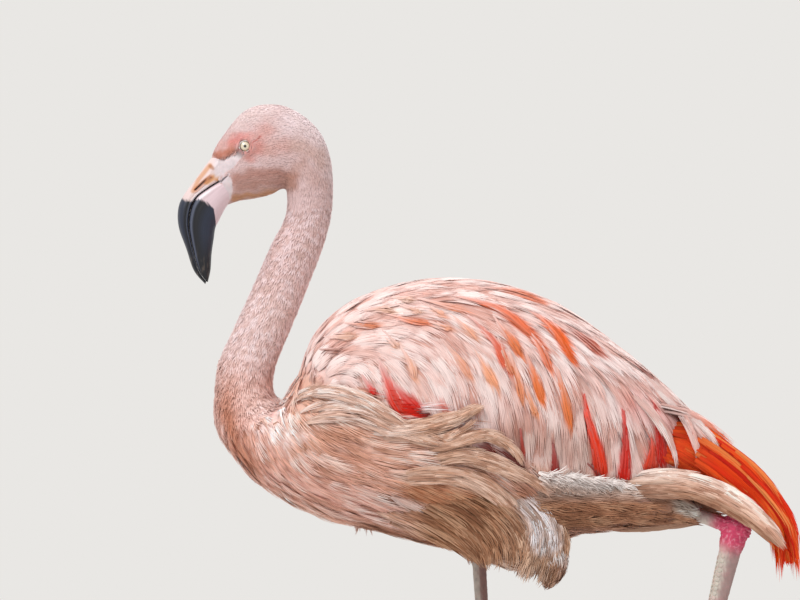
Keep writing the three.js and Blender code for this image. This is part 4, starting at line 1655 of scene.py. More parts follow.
@dataclass
class Leg:
    """A bare leg from the feathered thigh to the toes, as one skin."""

    name: str
    ankle: tuple[float, float, float]
    knee: tuple[float, float, float]
    foot: tuple[float, float, float]
    shank_from: float
    inward: int  # 1 where the bird's middle is on +Y
    spread: float = 1.0  # how far the toes are spread, as a share
    curl: float = 0.0  # how far the toes drop, in hundredths of their length squared
    turn: float = 0.0  # degrees that the foot turns about Y
    voxel: float = 0.96  # the skin's fineness; with less it has too many triangles
    joint_height: float = 12.0  # of the toes' joint over the sole
    toe_width: float = 9.0
    toe_height: float = 8.0

    def settle(self, places: Array) -> Array:
        """Move places from the foot's own frame to the bird's.

        Args:
            places: Places in the last axis.

        Returns:
            The places moved.
        """
        turned = tip_over(places - np.array([0, 0, self.joint_height]), self.turn)
        return turned + np.array(self.foot) + PLANE.shift

    def lean(self) -> float:
        """Degrees that the tarsus leans from upright, seen from the side."""
        return math.degrees(math.atan2(self.ankle[0] - self.foot[0], self.ankle[2] - self.foot[2]))

    def toe_line(self, toe: Toe, along: Array) -> Array:
        """Places along a toe's own line, without its height.

        Args:
            toe: Which toe.
            along: Distances from the joint of the toes.

        Returns:
            x, y and how far the toe has dropped.
        """
        turn = math.radians(toe.turn * self.spread * self.inward)
        return np.stack([-math.cos(turn) * along, math.sin(turn) * along, -self.curl * along**2 / 100], -1)

    def ball(self, centre: Array, radii: tuple[float, float, float], lean: float, local: bool) -> tuple:
        """Points and faces of an ellipsoid.

        Args:
            centre: Its middle.
            radii: Half its depth, width and height.
            lean: Degrees that it leans from upright.
            local: Whether the centre is given in the foot's frame and not the bird's.

        Returns:
            The points and the faces.
        """
        p, q = mesh_of(np.linspace(0.08, math.pi - 0.08, 14), circle(24))
        shape = np.stack([np.sin(p) * np.cos(q), np.sin(p) * np.sin(q), np.cos(p)], -1) * np.array(radii)
        rings = tip_over(shape, lean) + np.asarray(centre, float)
        return ring_mesh(self.settle(rings) if local else rings + PLANE.shift)

    def bone(self, start: Array, end: Array, deeps: Sequence, wides: Sequence, share: float = 0.0) -> tuple:
        """Points and faces of a straight bone.

        Args:
            start: Its upper joint.
            end: Its lower joint.
            deeps: Half depths, evenly spaced along it.
            wides: Half widths at the same places.
            share: Share of the way from start to end that is left out at the start.

        Returns:
            The points and the faces.
        """
        shares = share + (1 - share) * np.linspace(0, 1, len(deeps))[:, None]
        places = np.asarray(start) * (1 - shares) + np.asarray(end) * shares
        rows = np.hstack([places, np.array([deeps, wides]).T])
        t, a = mesh_of(np.linspace(0, len(rows) - 1, 60), circle(28))
        return ring_mesh(Tube(rows).point(t, a))

    def toe_tube(self, toe: Toe) -> tuple:
        """Points and faces of one toe with its pads.

        Args:
            toe: Which toe.

        Returns:
            The points and the faces.
        """
        shares = np.array(TOE_SHARES)
        along = np.linspace(0, toe.length, len(shares))
        line = self.toe_line(toe, along)
        deep = self.toe_height / 2 * shares
        line[:, 2] += deep * 0.75
        return self.limb(line, deep, self.toe_width / 2 * shares)

    def limb(self, line: Array, deep: Array, wide: Array, count: int = 46) -> tuple:
        """Points and faces of a bent tube in the foot's frame.

        Args:
            line: Places on its axis.
            deep: Half its depth at each.
            wide: Half its width at each.
            count: How many rings it has.

        Returns:
            The points and the faces.
        """
        rows = np.hstack([line, deep[:, None], wide[:, None]])
        t, a = mesh_of(np.linspace(0, len(rows) - 1, count), circle(20))
        return ring_mesh(self.settle(Tube(rows).point(t, a) - PLANE.shift))

    def web(self, first: Toe, second: Toe) -> tuple:
        """Points and faces of the skin between two toes, with a hollow front edge.

        Args:
            first: The toe on one side.
            second: The toe on the other.

        Returns:
            The points and the faces.
        """
        r, c = mesh_of(np.linspace(0.01, 1, 24), np.linspace(0, 1, 20))
        reach = first.length * first.web * (1 - c) + second.length * second.web * c
        along = reach * (1 - 0.22 * np.sin(math.pi * c)) * r
        turn = np.radians((first.turn * (1 - c) + second.turn * c) * self.spread * self.inward)
        flat = np.stack([-np.cos(turn) * along, np.sin(turn) * along, 0.8 - self.curl * along**2 / 100], -1)
        ripple = 0.25 * np.sin(c * math.pi * 9) * r
        top = flat + np.stack([0 * r, 0 * r, 1.6 + ripple], -1)
        rows = np.concatenate([top, flat[:, ::-1]], axis=1)
        return ring_mesh(self.settle(rows))

    def claws(self) -> list[tuple[str, bpy.types.Object]]:
        """Make the three blunt claws.

        Returns:
            Each toe's name and its claw.
        """
        made = []
        for toe in TOES:
            shares = np.array([0, 0.5, 0.85, 1.0])
            line = self.toe_line(toe, toe.length - 2.5 + 8.5 * shares)
            line[:, 2] += self.toe_height * 0.26 * (1 - shares * 0.45)
            line[-1, 2] -= 0.3
            sizes = np.array([2.0, 1.7, 1.1, 0.45])
            points, faces = self.limb(line, sizes, sizes * 1.1, 24)
            made.append((toe.name, make_object(f"claw_horn_{self.name}_{toe.name}", points, faces)))
        return made

    def build(self) -> bpy.types.Object:
        """Join shank, ankle, tarsus and foot into one fine skin.

        Returns:
            The leg.
        """
        ankle, foot = np.array(self.ankle), np.array(self.foot)
        lean = math.radians(self.lean())
        below = ankle - 11 * np.array([math.sin(lean), 0, math.cos(lean)])
        parts = [
            self.bone(self.knee, ankle, [7, 6.2, 6, 7.5], [6.2, 5.4, 5.2, 6.5], self.shank_from),
            self.bone(ankle, foot, TARSUS_DEPTHS, TARSUS_WIDTHS),
            self.ball(ankle, (14.8, 10.4, 13.8), self.lean(), False),
            self.ball(below, (12.0, 9.0, 19.5), self.lean(), False),
            self.ball((0, 0, self.joint_height), (9, 7.5, 9), 0, True),
            self.ball((-3, 0, self.toe_height / 2 + 0.1), (11, 8, self.toe_height / 2 + 0.4), 0, True),
            self.limb(np.array([[1, 0, 10], [7, 0, 8], [13, 0, 5.0]]), np.array([5, 3.6, 2.4]),
                      np.array([5, 3.2, 2.2])),
            *(self.toe_tube(toe) for toe in TOES), self.web(TOES[0], TOES[1]), self.web(TOES[1], TOES[2]),
        ]
        points, faces, start = [], [], 0
        for part_points, part_faces in parts:
            points.append(part_points)
            faces.extend([[corner + start for corner in face] for face in part_faces])
            start += len(part_points)
        leg = make_object(f"leg_{self.name}", np.concatenate(points), faces)
        remesh = leg.modifiers.new("one_skin", "REMESH")
        remesh.mode = "VOXEL"
        remesh.voxel_size = self.voxel * MM
        soften = leg.modifiers.new("soften", "SMOOTH")
        soften.iterations = 3
        apply_modifiers(leg)
        return leg

    def relief(self, leg: bpy.types.Object) -> None:
        """Cut folds into the ankle and rings of scutes into the tarsus, and level the sole.

        Args:
            leg: The leg's skin.
        """
        mesh = leg.data
        points, normals = read_vertices(mesh)
        normals = normals.astype(float)
        away, down = self.measure(points)
        folds = np.sin(down * 2 * math.pi / 3.4 + 1.8 * wobble(points, 9, 3)) + 0.6 * wobble(points, 3.2, 4)
        move = 0.42 * folds * smooth(26, 12, away)
        rings = np.abs(((down / 5.2) % 1.0) - 0.5) * 2
        scute = smooth(0.75, 1.0, rings)
        move = move - 0.35 * scute * smooth(24, 34, down) * smooth(0.0, 0.5, -normals[:, 0])
        move = move + 0.12 * wobble(points, 2.6, 5)
        points = points + normals * move[:, None]
        if self.turn == 0:
            points[:, 2] = np.maximum(points[:, 2], 0.0)
        mesh.vertices.foreach_set("co", (points * MM).astype(np.float32).ravel())
        mesh.update()

    def measure(self, points: Array) -> tuple[Array, Array]:
        """How far points lie from the ankle, and how far down the tarsus from it."""
        ankle, foot = np.array(self.ankle) + PLANE.shift, np.array(self.foot) + PLANE.shift
        return np.linalg.norm(points - ankle, axis=-1), (points - ankle) @ unit(foot - ankle)

    def colour(self, points: Array, normals: Array) -> tuple[Array, Array]:
        """Paint the leg, with painted light on its front and painted shade behind, and say which points
        belong to it.

        Args:
            points: Places on the bird's skin.
            normals: Their normals.

        Returns:
            Linear colours, and a share that is 1 on this leg.
        """
        away, down = self.measure(points)
        ankle, foot = np.array(self.ankle) + PLANE.shift, np.array(self.foot) + PLANE.shift
        axis = ankle + (foot - ankle) * np.clip(down / np.linalg.norm(foot - ankle), 0, 1)[:, None]
        knee = np.array(self.knee) + PLANE.shift
        upper = gap_to(points[:, 0], points[:, 2], (knee[0], knee[2]), (ankle[0], ankle[2]))
        near_foot = np.linalg.norm(points - foot, axis=-1) < 95
        on_shank = (upper < 11) & (np.abs(points[:, 1] - ankle[1]) < 12)
        share = ((np.linalg.norm(points - axis, axis=-1) < 22) | near_foot | on_shank).astype(float)
        # Skin that faces forward is painted paler and the rest darker: painted light and shade, as if lit
        # from the front.
        front = smooth(0.2, -0.5, normals[:, 0])
        colour = filled(points.shape, "a88a86")
        colour = lay_over(colour, "d8cfc2", 0.9 * front)
        mottle = smooth(-0.2, 1.2, wobble(points, 7, 21))
        # Above the ankle the back is painted dark brown and the front pale grey: more painted shade and
        # light.
        colour = lay_all(
            colour,
            ("c08c8c", 0.3 * mottle),
            ("7a5a52", smooth(-8, -18, down) * 0.8 * (1 - front)),
            ("b8aca4", smooth(-8, -18, down) * 0.8 * front),
        )
        pink = smooth(30, 14, away)
        colour = lay_over(colour, "d23f66", pink)
        # A pale net over the pink ankle: painted highlights on its wrinkles.
        ankle_highlight_net = np.abs(wobble(points * np.array([1, 1, 0.6]), 6, 22))
        colour = lay_over(colour, "f0a8b8", 0.6 * smooth(0.25, 0.0, ankle_highlight_net) * pink)
        colour = lay_over(colour, "a82448", 0.6 * smooth(0.5, 1.2, wobble(points, 7, 24)) * pink)
        toes = smooth(20, 6, np.linalg.norm(points - foot, axis=-1))
        colour = lay_over(colour, "c9607a", 0.6 * toes)
        dark = smooth(0.6, 1.6, wobble(points, 4, 23)) * (1 - pink)
        return lay_over(colour, "6f5f62", 0.5 * dark), share


def apply_modifiers(piece: bpy.types.Object) -> None:
    """Turn a piece with its modifiers into a plain mesh.

    Args:
        piece: The piece.
    """
    graph = bpy.context.evaluated_depsgraph_get()
    mesh = bpy.data.meshes.new_from_object(piece.evaluated_get(graph))
    mesh.name = piece.data.name
    piece.modifiers.clear()
    piece.data = mesh
    mesh.polygons.foreach_set("use_smooth", np.ones(len(mesh.polygons), bool))


LEAN_LEFT = math.radians(13.8)
TARSUS_LEFT = 265.0
ANKLE_LEFT = (267.5, -44.0, 488.0)
LEGS = (
    Leg("left", ANKLE_LEFT, (-13, -46, 590),
        (ANKLE_LEFT[0] - TARSUS_LEFT * math.sin(LEAN_LEFT), ANKLE_LEFT[1],
         ANKLE_LEFT[2] - TARSUS_LEFT * math.cos(LEAN_LEFT)),
        0.7, 1, spread=0.35, curl=0.22, turn=13.8 - 90),
    Leg("right", (43, 16, 278), (24, 38, 585), (50, -2, 12), 0.3, -1),
)


@dataclass
class BirdSkin:
    """One skin for head, neck, trunk, tail, wings, thighs, legs and feet."""

    sides: int = 112
    head_step: float = 0.05  # sections between rings on the head
    neck_step: float = 0.075
    trunk_step: float = 0.16

    def build(self) -> bpy.types.Object:
        """Loft the body and take the thighs, the flank folds and the tail into it.

        Returns:
            The skin.
        """
        rings = np.concatenate([
            np.arange(0, 8, self.head_step), np.arange(8, 14, self.neck_step),
            np.arange(14, 26.001, self.trunk_step),
        ])
        skin = tube_object("skin", BODY, rings, self.sides)
        parts = []
        for side in SIDES:
            fold = Tube(mirrored(FLANK[:4], side), lambda t, a: 8.0 + 0 * t)
            parts.append(tube_object("fold", fold, np.linspace(0, 3, 16), 24))
        core = Tube(TAIL[:4], lambda t, a: 4.0 + 0 * t)
        parts.append(tube_object("tail_core", core, np.linspace(0, 3, 16), 24))
        for rows in (THIGH_LEFT, THIGH_RIGHT):
            last = len(rows) - 1
            thigh = Tube(rows, lambda t, a, last=last: 6.5 - 4.5 * t / last)
            parts.append(tube_object("thigh", thigh, np.linspace(0, last, 30), 32))
        for leg in LEGS:
            part = leg.build()
            leg.relief(part)
            parts.append(part)
        unite(skin, parts)
        return skin

    def paint(self, skin: bpy.types.Object) -> None:
        """Write the markings, with their painted light and shade, on the skin and give it its material.

        Args:
            skin: The bird's skin.
        """
        mesh = skin.data
        points, normals = read_vertices(mesh)
        t = nearest_body_t(points)
        x, y, z = points.T
        colour = markings_and_painted_light(points, t) * 0.95
        side = smooth(4, 9, np.abs(y - PLANE.shift[1]))
        face = FACE.colour(colour, x, z)
        colour = np.where((t < 3.5)[:, None], face * side[:, None] + colour * (1 - side[:, None]), colour)
        for leg in LEGS:
            painted, share = leg.colour(points, normals)
            colour = np.where(share[:, None] > 0.5, painted, colour)
        write_attribute(mesh, TINT, "FLOAT_COLOR", colour)
        mesh.materials.append(Skin("Leathery_skin").make())


# ---------------------------------------------------------------- studio

@dataclass
class Studio:
    """Plain pale floor, soft light and the camera."""

    floor_size: float = 400.0  # metres
    backdrop: str = "e9e7e4"
    ground: str = "d3d1ce"
    distance: float = 5.0  # metres from the camera to the bird's middle plane
    frame_width: float = 0.744  # metres across the picture at that plane
    aim_x: float = -0.05585
    aim_z: float = 0.6987

    def seen_directly(self, tree: bpy.types.NodeTree) -> bpy.types.NodeSocket:
        """Tell rays that show the studio to the camera, a mirror or glass from those that light the bird.

        Args:
            tree: The tree that needs it.

        Returns:
            A socket that is 1 for the rays that show the studio.
        """
        ray = add_node(tree, "ShaderNodeLightPath").outputs
        shine = add_node(tree, "ShaderNodeMath", {0: ray["Is Glossy Ray"], 1: ray["Is Transmission Ray"]},
                         operation="MAXIMUM")
        return add_node(tree, "ShaderNodeMath", {0: ray["Is Camera Ray"], 1: shine.outputs[0]},
                        operation="MAXIMUM").outputs[0]

    def floor(self) -> None:
        """Lay the floor; far away it fades into the backdrop's colour."""
        half = self.floor_size / 2
        mesh = bpy.data.meshes.new("floor")
        mesh.from_pydata([(-half, -half, 0), (half, -half, 0), (half, half, 0), (-half, half, 0)], [],
                         [(0, 1, 2, 3)])
        floor = bpy.data.objects.new("floor", mesh)
        bpy.context.collection.objects.link(floor)
        material, tree, shader = new_material("Pale_matt_studio_floor")
        shader.inputs["Base Color"].default_value = rgba(linear(self.ground))
        shader.inputs["Roughness"].default_value = 0.9
        where = add_node(tree, "ShaderNodeTexCoord")
        reach = add_node(tree, "ShaderNodeVectorMath", {0: where.outputs["Object"]}, operation="LENGTH")
        far = add_node(tree, "ShaderNodeMapRange", {
            "Value": reach.outputs["Value"], "From Min": 0.9, "From Max": 3.4,
        }, interpolation_type="SMOOTHSTEP")
        share = add_node(tree, "ShaderNodeMath", {0: far.outputs[0], 1: self.seen_directly(tree)},
                         operation="MULTIPLY")
        glow = add_node(tree, "ShaderNodeEmission", {"Color": rgba(linear(self.backdrop))})
        mix = add_node(tree, "ShaderNodeMixShader",
                       {0: share.outputs[0], 1: shader.outputs[0], 2: glow.outputs[0]})
        tree.links.new(mix.outputs[0], tree.nodes["Material Output"].inputs["Surface"])
        mesh.materials.append(material)

    def light(self) -> None:
        """Set a pale sky and three large soft lamps."""
        world = bpy.data.worlds.new("studio")
        bpy.context.scene.world = world
        world.use_nodes = True
        tree = world.node_tree
        tree.nodes.clear()
        sky = add_node(tree, "ShaderNodeBackground", {"Color": (1, 1, 1, 1), "Strength": 0.65})
        plain = add_node(tree, "ShaderNodeBackground",
                         {"Color": rgba(linear(self.backdrop)), "Strength": 1.0})
        mix = add_node(tree, "ShaderNodeMixShader",
                       {0: self.seen_directly(tree), 1: sky.outputs[0], 2: plain.outputs[0]})
        add_node(tree, "ShaderNodeOutputWorld", {"Surface": mix.outputs[0]})
        lamps = (("key", (-1.6, -2.2, 3.0), 68, 1.6), ("top", (0.4, 0.6, 3.2), 34, 2.2),
                 ("back", (1.8, 2.6, 1.8), 26, 1.8))
        for name, place, power, size in lamps:
            lamp = bpy.data.lights.new(name, "AREA")
            lamp.energy, lamp.size = power, size
            holder = bpy.data.objects.new(name, lamp)
            holder.location = place
            aim = Vector((0.0, 0.0, 0.6)) - Vector(place)
            holder.rotation_euler = aim.to_track_quat("-Z", "Y").to_euler()
            bpy.context.collection.objects.link(holder)

    def camera(self) -> None:
        """Set a level camera square to the bird's left side."""
        lens = bpy.data.cameras.new("camera")
        lens.sensor_width = 36.0
        lens.lens = lens.sensor_width * self.distance / self.frame_width
        lens.clip_end = 500
        holder = bpy.data.objects.new("camera", lens)
        holder.location = (self.aim_x, PLANE.shift[1] * MM - self.distance, self.aim_z)
        holder.rotation_euler = (math.pi / 2, 0, 0)
        bpy.context.collection.objects.link(holder)
        bpy.context.scene.camera = holder
        bpy.context.scene.view_settings.view_transform = "Standard"


# ---------------------------------------------------------------- bill

MOUTH = [(-196, 817), (-206, 811), (-220, 802.5), (-231, 794), (-236.5, 783), (-238.3, 767), (-234, 744),
         (-229, 726), (-222, 716)]
UPPER_EDGE = [(-209, 836), (-217, 831), (-232, 811), (-244, 794.5), (-248.3, 782), (-247.5, 766),
              (-240.5, 746), (-233.5, 726), (-223, 713.5)]
LOWER_EDGE = [(-190, 797), (-202, 787), (-207, 779), (-210.5, 772), (-213.5, 766), (-215, 756), (-217, 742),
              (-218, 727), (-220.5, 715.5)]
UPPER_HALF = [12, 12.5, 10.5, 10, 10.5, 10.5, 9, 6.5, 2.5]
LOWER_HALF = [11.5, 12.5, 13, 13, 12.5, 11.5, 9.5, 7, 2.5]


class Jaw(Enum):
    """The two halves of the bill."""

    UPPER = "upper_bill"
    LOWER = "lower_bill"


@dataclass
class Bill:
    """The bent bill: two hollow-edged halves that meet along the mouth line."""

    gap: float = 0.35  # between the halves, where the dark slit shows
    rings: int = 150
    sides: int = 72

    def rows(self, jaw: Jaw) -> Array:
        """Sections of one half, from the mouth line to its outer edge.

        Args:
            jaw: Which half.

        Returns:
            Rows for a tube across the middle plane.
        """
        edge, halves = (UPPER_EDGE, UPPER_HALF) if jaw is Jaw.UPPER else (LOWER_EDGE, LOWER_HALF)
        mouth, edge = np.array(MOUTH, float), np.array(edge, float)
        away = unit(edge - mouth) * self.gap / 2
        more = np.array([[half, -0.12, 0.5] for half in halves])
        return np.hstack([mouth + away, edge, more])

    def dent(self, jaw: Jaw, x: Array, z: Array, tall: Array, t: Array) -> Array:
        """How far the horn is pushed in at places on its side.

        Args:
            jaw: Which half.
            x: Places along the bird.
            z: Heights.
            tall: From -1 at the mouth line to 1 at the outer edge.
            t: Places along the bill.

        Returns:
            Depths in millimetres.
        """
        lip = smooth(-1.0, -0.8, tall) * smooth(-0.5, -0.68, tall)
        dent = 0.55 * np.exp(-(((tall + 0.52) / 0.12) ** 2)) * smooth(0.8, 2, t) - 0.25 * lip
        if jaw is Jaw.UPPER:
            nostril = gap_to(x, z, (-245.5, 801), (-238, 808), (-231.5, 813))
            crease = gap_to(x, z, (-232, 814), (-226, 820), (-223, 826))
            dent = dent + 2.6 * smooth(1.5, 0.3, nostril) + 0.5 * smooth(1.6, 0.2, crease)
            dent = dent - 0.5 * smooth(3.4, 1.8, nostril) * smooth(1.2, 2.0, nostril)
        else:
            fold = gap_to(x, z, (-211, 796), (-216, 786), (-219, 776))
            dent = dent + 0.35 * smooth(1.5, 0.2, fold)
            scratches = wobble(np.stack([x * 4, z * 0.6, 0 * x], -1), 9, 4)
            dent = dent + 0.25 * smooth(0.4, 1.0, scratches) * smooth(5.5, 7, t)
        return dent

    def colour(self, jaw: Jaw, x: Array, z: Array, tall: Array, t: Array) -> Array:
        """Paint one half: pale at the base, black from the bend on, with a pale lip and a painted blue-grey
        sheen on the black.

        Args:
            jaw: Which half.
            x: Places along the bird.
            z: Heights.
            tall: From -1 at the mouth line to 1 at the outer edge.
            t: Places along the bill.

        Returns:
            Linear colours.
        """
        colour = filled((*x.shape, 3), "e8d0cd" if jaw is Jaw.UPPER else "e4cad0")
        if jaw is Jaw.UPPER:
            ridge = gap_to(x, z, (-232.4, 823.7), (-243, 810.3), (-248, 799.7))
            colour = lay_over(colour, "cf8f5c", 0.75 * smooth(3.4, 0.8, ridge))
            flap = gap_to(x, z, (-235, 808.5), (-229, 813), (-225, 812))
            colour = lay_over(colour, "d9985a", 0.85 * smooth(4.2, 1.8, flap))
            knot = gap_to(x, z, (-232, 823), (-229.5, 821))
            colour = lay_over(colour, "a86a40", 0.8 * smooth(2.6, 0.8, knot))
            nostril = gap_to(x, z, (-245.5, 801), (-238, 808), (-231.5, 813))
            colour = lay_all(
                colour,
                ("d07c48", 0.7 * smooth(3.0, 1.2, nostril)),
                ("4c2a24", smooth(1.5, 0.6, nostril)),
                ("dfd0d3", 0.9 * smooth(-229.5, -226.5, x) * smooth(810, 815, z)),
            )
            ragged = 0.8 * wobble(np.stack([x, 0 * x, z * 0.4], -1), 1.6, 1)
            black = smooth(792.5, 790, z + 0.2 * (x + 255) + ragged)
            deep = "0d101c"
        else:
            edge = np.interp(x, [-243, -240.9, -234.5, -228.6, -227.0, -226.2],
                             [792, 792, 789, 783.6, 771, 700])
            black = smooth(-1.0, 1.0, edge - z + 0.8 * wobble(np.stack([x, 0 * x, z * 0.4], -1), 1.6, 2))
            black = np.maximum(black, smooth(763, 757, z))
            flush = gap_to(x, z, (-208, 800), (-214, 786), (-219, 768))
            colour = lay_over(colour, "cf8f86", 0.6 * smooth(3.0, 0.5, flush))
            deep = "0b0e18"
        colour = lay_over(colour, deep, black)
        lip = smooth(-0.93, -0.85, tall) * smooth(-0.62, -0.72, tall)
        lip = lip * smooth(1.3, 2.3, t) * smooth(7.6, 6, t)
        colour = lay_all(
            colour,
            ("efe6ea", 0.85 * lip * (1 - black)),
            ("5c6276", 0.7 * lip * black),
            ("17161a", 0.9 * smooth(-0.92, -0.97, tall) * smooth(0.1, 0.6, t)),
        )
        worn = smooth(0.3, 1.4, wobble(np.stack([x * 3.2, 0 * x, z * 0.5], -1), 5, 5)) * smooth(5.4, 7.2, t)
        # A blue-grey sheen on the black towards each half's outer edge, fading near the tip: painted
        # reflection.
        colour = lay_over(colour, "3c4866", 0.3 * black * smooth(-0.4, 0.3, tall) * smooth(6.8, 4.8, t))
        return lay_over(colour, "6d5f55", 0.5 * worn)

    def build(self, jaw: Jaw) -> bpy.types.Object:
        """Make one half with its relief and colours.

        Args:
            jaw: Which half.

        Returns:
            The piece.
        """
        outline = MiddleTube(self.rows(jaw))
        t, a = mesh_of(np.linspace(0, 8, self.rings), circle(self.sides))
        plain = outline.outline(t, a, 0 * t)
        tall = np.cos(a)
        tall = np.where(tall < 0, -np.abs(tall) ** 0.5, tall)
        dent = self.dent(jaw, plain[..., 0], plain[..., 2], tall, t) * smooth(0.15, 0.5, np.abs(np.sin(a)))
        piece = make_object(jaw.value + "_horn", *ring_mesh(outline.outline(t, a, dent)))
        colour = self.colour(jaw, plain[..., 0], plain[..., 2], tall, t)
        write_attribute(piece.data, TINT, "FLOAT_COLOR", with_ends(colour))
        lay = np.stack([t / 8, tall, np.sign(np.sin(a))], -1)
        write_attribute(piece.data, LAY, "FLOAT_VECTOR", with_ends(lay))
        return piece


# ---------------------------------------------------------------- eyes

@dataclass
class Eye:
    """An eyeball with a small pupil and a pale iris, and the wrinkled rim of its lids."""

    side: int
    pupil: float = 1.15
    iris: float = 4.2
    rim: float = 5.2  # middle of the lid's edge
    lid: float = 0.5  # half the thickness of the lid's edge

    def ball(self) -> bpy.types.Object:
        """Make the eyeball, with rings of vertices round its outward pole.

        Returns:
            The piece.
        """
        radius = PLANE.eye_radius
        reach = np.concatenate([np.linspace(0.05, 6.0, 60), np.linspace(6.3, radius, 8)])
        polar = np.arcsin(np.clip(reach / radius, 0, 1))
        polar = np.concatenate([polar, np.linspace(math.pi / 2, math.pi * 0.97, 16)[1:]])
        p, q = mesh_of(polar, circle(64))
        swell = 1 + 0.03 * smooth(0.62, 0.0, p)
        local = np.stack([np.sin(p) * np.cos(q), np.cos(p) * swell, np.sin(p) * np.sin(q)], -1) * radius
        local = local * np.array([1, self.side, 1])
        rings = local + PLANE.eye(self.side)
        if self.side < 0:
            rings = rings[:, ::-1]
        piece = make_object(f"eyeball_{SIDES[self.side]}", *ring_mesh(rings))
        across = np.sin(p) * radius
        fibres = 0.5 + 0.5 * np.sin(q * 23 + 3 * np.sin(q * 5))
        colour = filled((*p.shape, 3), "ece2ca")
        colour = lay_all(
            colour,
            ("cdbb98", 0.5 * fibres * smooth(1.4, 2.6, across)),
            ("bda27c", smooth(self.iris - 1.2, self.iris - 0.2, across) * 0.6),
            ("8a7458", 0.6 * smooth(self.pupil + 0.7, self.pupil + 0.2, across)),
            ("16100c", smooth(self.pupil + 0.2, self.pupil - 0.1, across)),
            ("2e2624", smooth(self.iris - 0.1, self.iris + 0.15, across)),
        )
        if self.side < 0:
            colour = colour[:, ::-1]
        write_attribute(piece.data, TINT, "FLOAT_COLOR", with_ends(colour))
        return piece

    def lids(self) -> bpy.types.Object:
        """Make the swollen wrinkled rim of the lids round the open eye.

        Returns:
            The piece.
        """
        around, profile = 160, 20
        q, s = mesh_of(circle(around), circle(profile))
        ball = PLANE.eye_radius
        wrinkle = 1 + 0.10 * np.sin(q * 31 + 2 * np.sin(q * 3)) * (np.sin(s) > 0)
        thick = self.lid * (1 + 0.25 * np.cos(q * 2 + 0.6)) * wrinkle
        ring = self.rim + 0.25 * np.cos(q * 2 - 0.5)
        flare = ring + thick * 1.25 * np.cos(s)
        out = np.sqrt(np.maximum(ball**2 - np.minimum(ring, ball * 0.95) ** 2, 1)) + thick * np.sin(s)
        local = np.stack([flare * np.cos(q), self.side * out, flare * np.sin(q)], -1)
        rings = local + PLANE.eye(self.side)
        i, k = mesh_of(np.arange(around), np.arange(profile))
        ni, nk = (i + 1) % around, (k + 1) % profile
        quads = np.stack([i * profile + k, i * profile + nk, ni * profile + nk, ni * profile + k], -1)
        if self.side < 0:
            quads = quads[..., ::-1]
        piece = make_object(f"eyelid_{SIDES[self.side]}", rings.reshape(-1, 3),
                            quads.reshape(-1, 4).tolist())
        colour = filled((*q.shape, 3), "dcd2cc")
        colour = lay_over(colour, "4a3a36", smooth(-0.5, -0.9, np.cos(s)))
        colour = lay_over(colour, "6c5450", 0.8 * smooth(0.55, 0.95, np.cos(s)))
        write_attribute(piece.data, TINT, "FLOAT_COLOR", colour.reshape(-1, 3))
        return piece


# ---------------------------------------------------------------- plates

TURN = "turn"
SIZE = "size"


